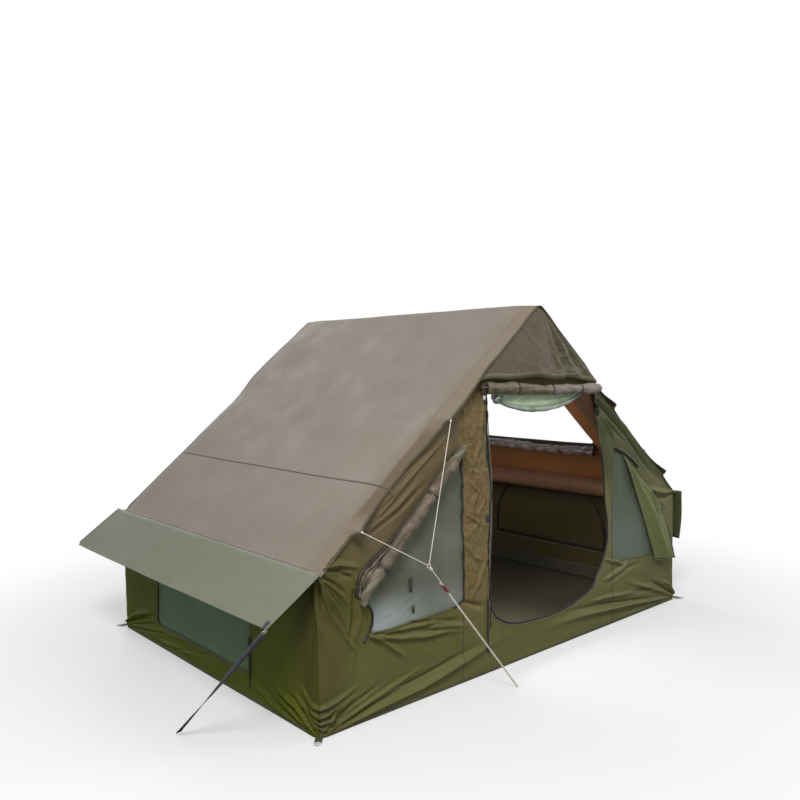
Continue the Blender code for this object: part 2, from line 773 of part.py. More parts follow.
def air_frame():
    """Two house-shaped air arches, joined by a ridge beam and two eave beams."""
    leg_x = WIDTH / 2 - FRAME_INSET
    arch_y = DEPTH / 2 - FRAME_INSET
    eave_z = EAVE_HEIGHT + FRAME_INSET * math.tan(PITCH) - FRAME_INSET / math.cos(PITCH)
    apex_z = RIDGE_HEIGHT - FRAME_INSET / math.cos(PITCH)
    for name, end in (("front_air_arch", FRONT), ("rear_air_arch", REAR)):
        y = end * arch_y
        corners = [
            Vector((-leg_x, y, CLOTH + GAP)),
            Vector((-leg_x, y, eave_z)),
            Vector((0, y, apex_z)),
            Vector((leg_x, y, eave_z)),
            Vector((leg_x, y, CLOTH + GAP)),
        ]
        tube(name, bent_line(corners, BEAM_BEND), BEAM_RADIUS, "lining", BEAM_ROUNDNESS)
    rise = BEAM_BEND / math.cos(PITCH) - BEAM_BEND
    beam_end = arch_y - BEAM_RADIUS - GAP
    beams = (
        ("ridge_air_beam", 0, apex_z - rise),
        ("left_eave_air_beam", -leg_x, eave_z),
        ("right_eave_air_beam", leg_x, eave_z),
    )
    for name, x, z in beams:
        tube(name, [(x, -beam_end, z), (x, beam_end, z)], BEAM_RADIUS, "lining", BEAM_ROUNDNESS)

    valve_face = Vector((-leg_x + BEAM_RADIUS + GAP, arch_y, VALVE_HEIGHT))
    frame = axes_frame(valve_face, (0, 1, 0), (0, 0, 1))
    stem_top = FLANGE_THICKNESS + STEM_LENGTH
    valve_profile = [
        (0, stem_top),
        (STEM_RADIUS, stem_top),
        (STEM_RADIUS, FLANGE_THICKNESS),
        (FLANGE_RADIUS, FLANGE_THICKNESS / 2),
        (FLANGE_RADIUS, 0),
        (0, 0),
    ]
    turned("inflation_valve", valve_profile, frame, "valve_plastic")
    cap_foot = stem_top + GAP
    cap_top = cap_foot + CAP_THICKNESS
    rim = CAP_THICKNESS / 4
    cap_profile = [
        (0, cap_top),
        (CAP_RADIUS - rim, cap_top),
        (CAP_RADIUS, cap_top - rim),
        (CAP_RADIUS, cap_foot),
        (0, cap_foot),
    ]
    cap_axis = joint_empty("valve_cap_axis", valve_face)
    turned("valve_cap", cap_profile, frame, "valve_plastic", cap_axis)


def roof_frame(side):
    """A frame in the middle of a roof panel: X along the eave, Y up the slope, Z outwards."""
    eave = Vector((side * WIDTH / 2, 0, EAVE_HEIGHT))
    up_slope = Vector((-side * math.cos(PITCH), 0, math.sin(PITCH)))
    outward = Vector((side * math.sin(PITCH), 0, math.cos(PITCH)))
    along_eave = up_slope.cross(outward)
    return axes_frame(eave - outward * CLOTH / 2, along_eave, up_slope)


def front_rim(side, low, high, tab):
    """The points of a roof panel's front rim from low to high, out to a guy tab between them."""
    edge = DEPTH / 2 + ROOF_OVERHANG
    forward = -side
    points = [(edge, low)]
    if tab:
        points += [
            (edge, tab - TAB_HALF_WIDTH),
            (edge + TAB_REACH, tab - TAB_TIP_HALF_WIDTH),
            (edge + TAB_REACH, tab + TAB_TIP_HALF_WIDTH),
            (edge, tab + TAB_HALF_WIDTH),
        ]
    points.append((edge, high))
    return [(forward * x, y) for x, y in points]


def roof_panel(name, side, low, high, tab=None):
    """A roof panel over the tent's whole length, between two heights up the slope."""
    rear = side * (DEPTH / 2 + ROOF_OVERHANG)
    outline = front_rim(side, low, high, tab) + [(rear, high), (rear, low)]
    flat_piece(name, [outline], CLOTH, roof_frame(side), "roof_cloth")


def roof():
    """The roof cover: two panels on the left, and four round the open roof light on the right."""
    peak = SLOPE_LENGTH - CLOTH * math.tan(PITCH) - GAP
    half_gap = GAP / 2
    roof_panel("roof_left_lower", LEFT, 0, ROOF_SEAM - half_gap, LOWER_TAB)
    roof_panel("roof_left_upper", LEFT, ROOF_SEAM + half_gap, peak, UPPER_TAB)
    roof_panel("roof_right_lower", RIGHT, 0, ROOF_SEAM - half_gap, LOWER_TAB)
    roof_panel("roof_right_upper", RIGHT, SKYLIGHT_TOP + half_gap, peak)
    low = ROOF_SEAM + half_gap
    high = SKYLIGHT_TOP - half_gap
    frame = roof_frame(RIGHT)
    rim = front_rim(RIGHT, low, high, UPPER_TAB)
    inner = -SKYLIGHT_HALF_LENGTH
    flat_piece("roof_right_front", [rim + [(inner, high), (inner, low)]], CLOTH, frame, "roof_cloth")
    edge = DEPTH / 2 + ROOF_OVERHANG
    strip = [(SKYLIGHT_HALF_LENGTH, low), (edge, low), (edge, high), (SKYLIGHT_HALF_LENGTH, high)]
    flat_piece("roof_right_rear", [strip], CLOTH, frame, "roof_cloth")

    depth = CLOTH / 2 + GAP + SKYLIGHT_ROLL_RADIUS - SKYLIGHT_ROLL_FLAT
    up_slope = ROOF_SEAM - SKYLIGHT_ROLL_RADIUS
    start = frame @ Vector((-SKYLIGHT_HALF_LENGTH, up_slope, -depth))
    end = frame @ Vector((SKYLIGHT_HALF_LENGTH, up_slope, -depth))
    points = line_points(start, end, ROLL_RINGS - 1)
    swell = lumps(ROLL_RINGS, SKYLIGHT_ROLL_SHIFT)
    tube("skylight_flap_roll", points, SKYLIGHT_ROLL_RADIUS, "rolled_cloth", 3, swell)


def eave_flaps():
    """The flaps sewn along the eaves, each hinged on its seam."""
    root_out = WIDTH / 2 + GAP
    root_z = EAVE_HEIGHT - FLAP_SEAM_DROP
    shape = [
        (-FLAP_HALF_LENGTH, 0),
        (FLAP_HALF_LENGTH, 0),
        (FLAP_HALF_LENGTH - FLAP_TAPER, FLAP_REACH),
        (-FLAP_HALF_LENGTH + FLAP_TAPER, FLAP_REACH),
    ]
    place = Vector((-root_out, 0, root_z))
    axis = joint_empty("left_eave_flap_axis", place)
    outward = Vector((-math.cos(FLAP_DROOP), 0, -math.sin(FLAP_DROOP)))
    upper = Vector((-math.sin(FLAP_DROOP), 0, math.cos(FLAP_DROOP)))
    frame = axes_frame(place + upper * CLOTH / 2, (0, 1, 0), outward)
    flat_piece("left_eave_flap", [shape], CLOTH, frame, "flap_cloth", axis)

    right_place = Vector((root_out, 0, root_z))
    right_axis = joint_empty("right_eave_flap_axis", right_place)
    hang = axes_frame(right_place + Vector((CLOTH / 2, 0, 0)), (0, 1, 0), (0, 0, -1))
    flat_piece("right_eave_flap", [shape], CLOTH, hang, "flap_cloth", right_axis)

    corner = frame @ Vector((-FLAP_HALF_LENGTH + FLAP_TAPER, FLAP_REACH, 0))
    end = Vector(STRAP_END)
    ring_reach = STRAP_RING_RADIUS + STRAP_RING_WIRE + GAP
    lean = (end - corner).normalized()
    ring_centre = corner + lean * (ring_reach + CLOTH / 2)
    ring_normal = lean.cross(Vector((1, 0, 0))).normalized()
    ring_frame = axes_frame(ring_centre, lean, ring_normal.cross(lean))
    ring("flap_strap_ring", ring_frame, STRAP_RING_RADIUS, STRAP_RING_WIRE, "metal", carrier=axis)

    strap_axis = joint_empty("flap_strap_axis", ring_centre, axis)
    run = (end - ring_centre).normalized()
    start = ring_centre + run * ring_reach
    flat = run.cross(Vector((0, 1, 0))).normalized()
    across = flat.cross(run)
    frame = axes_frame(start, run, across)
    length = (end - start).length
    half = STRAP_WIDTH / 2
    strip = rounded([
        (0, -half, 0),
        (length, -half, half / 2),
        (length, half, half / 2),
        (0, half, 0),
    ])
    flat_piece("flap_strap", [strip], STRAP_THICKNESS, frame, "webbing", strap_axis)


def hood(name, end, reach):
    """The gable cap under the roof's rim, standing off the wall over the rolled door."""
    wall = DEPTH / 2 + GAP + CLOTH

    def place(u, v):
        z = HOOD_BOTTOM + (HOOD_TOP - HOOD_BOTTOM) * v
        half = (RIDGE_HEIGHT - z) / math.tan(PITCH) - (CLOTH + HOOD_CLEARANCE) / math.sin(PITCH)
        across = (2 * u - 1) * end
        hang = (1 - v) * (1 - across * across)
        pleat = HOOD_PLEAT * hang * math.sin(math.tau * HOOD_PLEAT_WAVES * u)
        y = end * (wall + reach * hang + pleat)
        return Vector((-half * across, y, z + HOOD_PLEAT * hang))

    cloth_sheet(name, HOOD_GRID, place, CLOTH, "wall_cloth")


def lumps(count, shift, tie_shares=()):
    """The swell of a rolled cloth along its length, as shares of its radius, pinched at its ties."""
    values = []
    for step in range(count):
        share = step / (count - 1)
        long_wave = math.sin(math.tau * (ROLL_LONG_WAVES * share + shift))
        short_wave = math.cos(math.tau * ROLL_SHORT_WAVES * share)
        value = 1 - ROLL_LUMP_SHARE * (1 + long_wave * short_wave) / 2
        for tie_share in tie_shares:
            if abs(share - tie_share) <= 1 / (count - 1):
                value = 1 - ROLL_PINCH_SHARE
        values.append(value)
    largest = max(values)
    return [value / largest for value in values]


def swell_at(swell, share):
    """The swell at a share of a roll's length, between two of its rings."""
    spot = share * (len(swell) - 1)
    index = min(int(spot), len(swell) - 2)
    return swell[index] + (swell[index + 1] - swell[index]) * (spot - index)


def roll_standoff(radius, swell, tie_shares):
    """How far a roll's middle line lies from the wall, so that the roll or a tie rests on it."""
    reach = [radius]
    for share in tie_shares:
        reach.append(radius * swell_at(swell, share) + tie_height())
    return max(reach) + GAP


def tie_height():
    return 2 * TIE_RADIUS + GAP


def tie(name, centre, run, radius):
    """A cloth tie round a roll of a radius."""
    turn = Vector((0, 0, 1)).rotation_difference(run).to_matrix().to_4x4()
    frame = Matrix.Translation(centre) @ turn
    reach = (radius + GAP) / math.cos(math.pi / TURNED_STEPS) + TIE_RADIUS
    ring(name, frame, reach, TIE_RADIUS, "zip", sides=1)


def rolled_door():
    """The door rolled up under the hood, its three ties and the net that hangs behind it."""
    swell = lumps(ROLL_RINGS, DOOR_ROLL_SHIFT, DOOR_TIE_SHARES)
    y = FRONT_PLANE - roll_standoff(DOOR_ROLL_RADIUS, swell, DOOR_TIE_SHARES)
    start = Vector((DOOR_ROLL_LEFT, y, DOOR_TOP - DOOR_ROLL_LEFT_DROP))
    end = Vector((DOOR_ROLL_RIGHT, y, DOOR_TOP - DOOR_ROLL_RIGHT_DROP))
    points = line_points(start, end, ROLL_RINGS - 1)
    tube("door_roll", points, DOOR_ROLL_RADIUS, "rolled_cloth", 4, swell)
    for index, share in enumerate(DOOR_TIE_SHARES):
        radius = DOOR_ROLL_RADIUS * swell_at(swell, share)
        tie(f"door_roll_tie_{index + 1}", along(start, end, share), end - start, radius)

    def place(u, v):
        x = SWAG_LEFT + (SWAG_RIGHT - SWAG_LEFT) * u
        drop = SWAG_HEM + SWAG_DROP * math.sin(math.pi * u) ** SWAG_FULLNESS
        below_roll = max(0, (1 - v - SWAG_HIDDEN_SHARE) / (1 - SWAG_HIDDEN_SHARE))
        belly = SWAG_BELLY * below_roll * math.sin(math.pi * u)
        return Vector((x, FRONT_PLANE + GAP - belly, DOOR_TOP - GAP - drop * (1 - v)))

    cloth_sheet("door_net_swag", SWAG_GRID, place, NET, "net")


def window_covers():
    """The left window's cover, rolled up its slant, and the right one, hanging loose."""
    tail_points = BEND_CHORDS + 1
    rings = SLANT_RINGS + 1 + tail_points
    ring_shares = [share * SLANT_RINGS / (rings - 1) for share in COVER_TIE_SHARES]
    swell = lumps(rings, COVER_ROLL_SHIFT, ring_shares)
    y = FRONT_PLANE - roll_standoff(COVER_ROLL_RADIUS, swell, ring_shares)
    top = Vector((PILLAR_EDGE_LEFT - WINDOW_SEAM, y, LEFT_WINDOW_TOP + COVER_ROLL_RADIUS / 2))
    elbow = Vector((-LEFT_WINDOW_OUTER + WINDOW_SEAM, y, WINDOW_OUTER_HEIGHT))
    tail = elbow + Vector((-WINDOW_SEAM, 0, -COVER_ROLL_TAIL))
    line = bent_line([top, elbow, tail], COVER_ROLL_TAIL / 2)
    points = line_points(line[0], line[1], SLANT_RINGS) + line[2:]
    thin = COVER_ROLL_TAIL_RADIUS / COVER_ROLL_RADIUS
    for index in range(tail_points):
        share = (index + 1) / tail_points
        place = rings - tail_points + index
        swell[place] = swell[place] * (1 - share) + thin * share
    tube("window_cover_roll", points, COVER_ROLL_RADIUS, "rolled_cloth", 4, swell)
    for index, share in enumerate(COVER_TIE_SHARES):
        radius = COVER_ROLL_RADIUS * swell_at(swell, ring_shares[index])
        centre = along(line[0], line[1], share)
        tie(f"window_cover_tie_{index + 1}", centre, line[1] - line[0], radius)

    seam_y = FRONT_PLANE - GAP - CLOTH
    inner = Vector((COVER_TOP_INNER[0], seam_y, COVER_TOP_INNER[1]))
    outer = Vector((COVER_TOP_OUTER[0], seam_y, COVER_TOP_OUTER[1]))
    hem_inner = Vector((COVER_HEM_INNER[0], seam_y, COVER_HEM_INNER[1]))
    hem_outer = Vector((COVER_HEM_OUTER[0], seam_y, COVER_HEM_OUTER[1]))
    axis = joint_empty("window_cover_axis", inner)

    def hang(u, v):
        place = along(along(hem_inner, hem_outer, u), along(inner, outer, u), v)
        crest = math.exp(-(((u - COVER_CREST_SHARE) / COVER_CREST_WIDTH_SHARE) ** 2))
        ripple = COVER_RIPPLE_SHARE * math.sin(math.tau * COVER_RIPPLES * u) ** 2
        edge = math.sin(math.pi * (u + COVER_EDGE_SHARE) / (1 + 2 * COVER_EDGE_SHARE))
        place.y -= (1 - v) * (COVER_STANDOFF + COVER_FOLD_DEPTH * (crest + ripple) * edge)
        return place

    cloth_sheet("window_cover", COVER_GRID, hang, CLOTH, "wall_cloth", axis)


def slider_outline(pull):
    """A zip slider with the cord that hangs from it: its outline, X across and Y up."""
    body = SLIDER_WIDTH / 2
    cord = PULL_WIDTH / 2
    return rounded([
        (-body, 0, 0),
        (-cord, 0, 0),
        (-cord, -pull, cord / 2),
        (cord, -pull, cord / 2),
        (cord, 0, 0),
        (body, 0, 0),
        (body, SLIDER_LENGTH, body / 2),
        (-body, SLIDER_LENGTH, body / 2),
    ])


def zip_slider(name, place, outward, pull, lean=0.0):
    """A slider on the outer face of a zip, able to travel up it."""
    outward = Vector(outward)
    seat = Vector(place) + outward * (SLIDER_THICKNESS / 2 + GAP)
    up = Vector((0, 0, 1)) + Vector((-lean, 0, 0))
    frame = axes_frame(seat, up.cross(outward), up)
    axis = joint_empty(name + "_axis", seat)
    flat_piece(name, [slider_outline(pull)], SLIDER_THICKNESS, frame, "zip", axis)


def sliders():
    left_x = DOOR_LEFT + ZIP_WIDTH / 2
    zip_slider("door_slider_left", (left_x, FRONT_PLANE, LEFT_SLIDER_HEIGHT), (0, -1, 0), LONG_PULL)
    right_x = door_right(RIGHT_SLIDER_HEIGHT, ZIP_WIDTH / 2)
    right_place = (right_x, FRONT_PLANE, RIGHT_SLIDER_HEIGHT)
    zip_slider("door_slider_right", right_place, (0, -1, 0), SHORT_PULL, DOOR_LEAN)
    side_place = (-WIDTH / 2, SIDE_WINDOW_FRONT, SIDE_SLIDER_HEIGHT)
    zip_slider("side_window_slider", side_place, (-1, 0, 0), LONG_PULL)
    rear_place = (REAR_DOOR_WIDTH / 2, DEPTH / 2, REAR_SLIDER_HEIGHT)
    zip_slider("rear_door_slider", rear_place, (0, 1, 0), SHORT_PULL)


def tab_tip(tab):
    """Where a guy leg starts, against the tip of a guy tab on the roof's left front rim."""
    edge = DEPTH / 2 + ROOF_OVERHANG + TAB_REACH
    return roof_frame(LEFT) @ Vector((edge + ROPE_RADIUS + GAP, tab, 0))


def guy_line():
    """The guy: two legs from the roof tabs to a ring, and a doubled line with its tensioner."""
    junction = Vector(GUY_JUNCTION)
    peg = Vector(GUY_PEG)
    run = (peg - junction).normalized()
    side = run.cross(Vector((0, 0, 1))).normalized()
    clear = GUY_RING_RADIUS + GUY_RING_WIRE + GAP
    for name, tab in (("guy_upper_leg", UPPER_TAB), ("guy_lower_leg", LOWER_TAB)):
        tip = tab_tip(tab)
        to_ring = (junction - tip).normalized()
        end = junction - to_ring * clear
        tube(name, line_points(tip, end, LEG_CHORDS), ROPE_RADIUS, "rope")
    ring_frame = axes_frame(junction, run, run.cross(side))
    ring("guy_ring", ring_frame, GUY_RING_RADIUS, GUY_RING_WIRE, "rope")

    loop_radius = STRAND_SPACE / 2
    length = (peg - junction).length
    first = junction + run * clear
    out_end = peg - run * loop_radius
    loop_centre = out_end - side * loop_radius
    back_start = out_end - side * STRAND_SPACE
    tail_run = length * TENSIONER_SHARE - TENSIONER_LENGTH / 2 - ROPE_TAIL
    tail_end = junction + run * tail_run - side * STRAND_SPACE
    points = line_points(first, out_end, LINE_CHORDS)
    for step in range(1, LOOP_CHORDS):
        angle = math.pi * step / LOOP_CHORDS
        arm = side * math.cos(angle) + run * math.sin(angle)
        points.append(loop_centre + arm * loop_radius)
    points += line_points(back_start, tail_end, LINE_CHORDS)
    tube("guy_main", points, ROPE_RADIUS, "rope")

    middle = junction + run * length * TENSIONER_SHARE - side * loop_radius
    axis = joint_empty("tensioner_axis", middle)
    size = (TENSIONER_LENGTH, TENSIONER_WIDTH, TENSIONER_THICKNESS)
    block = block_mesh("tensioner", size, -TENSIONER_THICKNESS / 2)
    piece = add("tensioner", block, "red_plastic", axes_frame(middle, run, side), axis)
    edge = piece.modifiers.new("Rounded", "BEVEL")
    edge.width = TENSIONER_BEVEL
    edge.segments = 2
    bore = ROPE_RADIUS + TENSIONER_CLEARANCE
    circle = [(bore * math.cos(turn), bore * math.sin(turn)) for turn in circle_turns()]
    for strand, shift in (("out", loop_radius), ("back", -loop_radius)):
        bore_frame = axes_frame(middle + side * shift, side, run.cross(side))
        cutter = prism_cutter("tensioner_bore_" + strand, circle, bore_frame, CUT_OVERRUN)
        combine(piece, cutter, "DIFFERENCE")


clear_scene()
TENT = new_collection("inflatable_tent")
CUTTERS = new_collection("cutters")
floor_tub()
air_frame()
front_walls()
rear_wall()
side_walls()
roof()
eave_flaps()
hood("front_hood", FRONT, HOOD_REACH)
hood("rear_hood", REAR, REAR_HOOD_REACH)
rolled_door()
window_covers()
sliders()
guy_line()
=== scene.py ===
"""The looks of the inflatable tent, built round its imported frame.

Units are metres, +Z is up, and the doorway faces -Y. Cloths are given on unrolled surfaces: the walls
by the way round from the front left corner and the height, the roof by the way from the ridge and Y.
"""

import math

import bmesh
import bpy
import numpy as np
from mathutils import Matrix, Vector, geometry, kdtree


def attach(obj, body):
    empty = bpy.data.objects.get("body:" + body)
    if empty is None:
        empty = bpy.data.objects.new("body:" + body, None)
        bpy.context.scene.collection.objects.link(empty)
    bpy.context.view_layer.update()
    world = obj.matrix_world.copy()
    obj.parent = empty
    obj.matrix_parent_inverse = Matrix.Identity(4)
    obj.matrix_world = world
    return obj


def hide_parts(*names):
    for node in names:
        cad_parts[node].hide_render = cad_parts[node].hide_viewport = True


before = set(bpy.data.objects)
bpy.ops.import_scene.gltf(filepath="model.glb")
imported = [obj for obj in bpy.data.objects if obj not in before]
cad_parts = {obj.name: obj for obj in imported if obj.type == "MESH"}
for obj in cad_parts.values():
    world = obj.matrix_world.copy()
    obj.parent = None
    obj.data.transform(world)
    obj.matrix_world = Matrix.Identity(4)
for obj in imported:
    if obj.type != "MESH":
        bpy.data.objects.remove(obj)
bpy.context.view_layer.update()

HALF_X, HALF_Y = 1.5, 1.05
EAVE, RIDGE = 0.75, 1.97
PITCH = math.atan2(RIDGE - EAVE, HALF_X)
SLOPE = math.hypot(RIDGE - EAVE, HALF_X)
GRADE = (RIDGE - EAVE) / HALF_X
RNG = np.random.default_rng(11)

# Thickness of the cloths and the nets, the rope's radius, and the webbing's thickness
CLOTH, NET, ROPE, WEB = 0.0014, 0.0007, 0.0022, 0.0022
# How much deeper the folds are than the heights in their tables, and how fine the walls' edges are divided
FOLD_SCALE, EDGE_STEP = 2.25, 0.0077
# The eave flaps' half length and depth
FLAP_HALF, FLAP_DEPTH = 1.09, 0.325
# The roof light: its lower and upper edge as ways up from the eave, and its half length
LIGHT_LOW, LIGHT_HIGH, LIGHT_HALF = 0.52, 1.5, 0.68
# Where the photograph was taken from, and its focal length and width in pixels
EYE, FOCAL, FRAME_WIDTH = (-3.4919, -3.8777, 1.6723), 802.1, 800


def placed(name, data):
    """A new object in the scene."""
    made = bpy.data.objects.new(name, data)
    bpy.context.scene.collection.objects.link(made)
    return made


# Camera, as the photograph was taken

def add_camera():
    azimuth, elevation, roll = math.radians(-41.428), math.radians(2.992), math.radians(-0.823)
    back = Vector((
        math.sin(azimuth) * math.cos(elevation),
        -math.cos(azimuth) * math.cos(elevation),
        math.sin(elevation),
    ))
    right = Vector((0, 0, 1)).cross(back).normalized()
    up = back.cross(right)
    turned_right = right * math.cos(roll) + up * math.sin(roll)
    turned_up = up * math.cos(roll) - right * math.sin(roll)
    pose = Matrix((turned_right, turned_up, back)).transposed().to_4x4()
    pose.translation = Vector(EYE)
    data = bpy.data.cameras.new("camera")
    data.sensor_width = 36
    data.lens = data.sensor_width * FOCAL / FRAME_WIDTH
    camera = placed("camera", data)
    camera.matrix_world = pose
    bpy.context.scene.camera = camera


# Materials

def new_material(name):
    material = bpy.data.materials.new(name)
    material.use_nodes = True
    return material, material.node_tree, material.node_tree.nodes["Principled BSDF"]


def feed(tree, made, **sockets):
    """A node's inputs by name, with blanks for underscores: a socket is linked, a value is written."""
    for key, value in sockets.items():
        socket = made.inputs[key.replace("_", " ")]
        if isinstance(value, bpy.types.NodeSocket):
            tree.links.new(value, socket)
        else:
            socket.default_value = value
    return made


def node(tree, kind, settings=None, **sockets):
    """A shader node with its settings and inputs."""
    made = tree.nodes.new("ShaderNode" + kind)
    for key, value in (settings or {}).items():
        setattr(made, key, value)
    return feed(tree, made, **sockets)


def place_of(tree, kind="Object"):
    return tree.nodes.new("ShaderNodeTexCoord").outputs[kind]


def ranged(tree, value, kind="LINEAR", **ends):
    """A value mapped from one range to another."""
    return node(tree, "MapRange", {"interpolation_type": kind}, Value=value, **ends).outputs["Result"]


def noise(tree, vector, scale, detail=3.0, low=0.3, high=0.7, distortion=0.0):
    """Noise between 0 and 1, its contrast set by the range that it is stretched from."""
    made = node(tree, "TexNoise", Vector=vector, Scale=scale, Detail=detail, Distortion=distortion)
    return ranged(tree, made.outputs["Fac"], From_Min=low, From_Max=high)


def colour(rgb):
    return (*rgb, 1.0)


def mixed(tree, factor, first, second, kind="MIX"):
    return node(tree, "MixRGB", {"blend_type": kind}, Fac=factor, Color1=first, Color2=second).outputs["Color"]


def bumped(tree, height, distance, strength, normal=None):
    made = node(tree, "Bump", Height=height, Distance=distance, Strength=strength)
    if normal:
        tree.links.new(normal, made.inputs["Normal"])
    return made.outputs["Normal"]


def cloth(name, base, second, patch, rough, crease, weave=0.12, tints=(), sheen=0.04, alpha=1.0, depth=1.0,
          gloss=0.28):
    """Coated tent cloth: mottled colour, tints along an axis, soft creases and a fine weave.
    A tint is its axis, start, end, colour and share, and may be limited by a second axis, start and end."""
    material, tree, shader = new_material(name)
    spot = place_of(tree)
    tone = mixed(tree, noise(tree, spot, patch, 4.0), colour(base), colour(second))
    axes = node(tree, "SeparateXYZ", Vector=spot)
    for axis, start, end, rgb, share, *limit in tints:
        if limit:
            share = ranged(tree, axes.outputs[limit[0]], "SMOOTHSTEP", From_Min=limit[1], From_Max=limit[2])
        ramp = ranged(tree, axes.outputs[axis], "SMOOTHSTEP", From_Min=start, From_Max=end, To_Max=share)
        tone = mixed(tree, ramp, tone, colour(rgb))
    grain = ranged(tree, noise(tree, spot, 70.0, 4.0), To_Min=0.93, To_Max=1.05)
    soft = bumped(tree, noise(tree, spot, 9.0, 6.0, 0.2, 0.8, 0.6), 0.006 * depth, crease)
    ripple = bumped(tree, noise(tree, spot, 30.0, 3.0, 0.2, 0.8, 0.8), 0.0009 * depth ** 2, crease, soft)
    thread = node(tree, "TexNoise", Vector=spot, Scale=900.0, Detail=1.0)
    feed(tree, shader, Base_Color=mixed(tree, 1.0, tone, grain, "MULTIPLY"),
         Normal=bumped(tree, thread.outputs["Fac"], 0.0004, weave, ripple),
         Roughness=ranged(tree, noise(tree, spot, 5.0), To_Min=rough - 0.08, To_Max=rough + 0.08),
         Sheen_Weight=sheen, Sheen_Roughness=0.5, Specular_IOR_Level=gloss, Alpha=alpha)
    return material


def plain(name, base, second, rough, scale, metal=0.0):
    """A small fitting's finish: two close tones, worn roughness and a fine bump."""
    material, tree, shader = new_material(name)
    spot = place_of(tree)
    feed(tree, shader, Base_Color=mixed(tree, noise(tree, spot, scale), colour(base), colour(second)),
         Roughness=ranged(tree, noise(tree, spot, scale * 2), To_Min=rough - 0.1, To_Max=rough + 0.1),
         Normal=bumped(tree, noise(tree, spot, scale * 8), 0.0008, 0.3), Metallic=metal)
    return material


def woven(name, base, second, pitch, rough):
    """Webbing, rope or zip tape: ribs along and across its UV, which is in metres."""
    material, tree, shader = new_material(name)
    ribs = [node(tree, "TexWave", {"bands_direction": way}, Vector=place_of(tree, "UV"), Scale=0.05 / pitch)
            .outputs["Fac"] for way in "XY"]
    mottle = noise(tree, place_of(tree), 40.0)
    feed(tree, shader, Base_Color=mixed(tree, mottle, colour(base), colour(second)),
         Normal=bumped(tree, mixed(tree, 0.5, *ribs), 0.0006, 0.6), Roughness=rough)
    return material


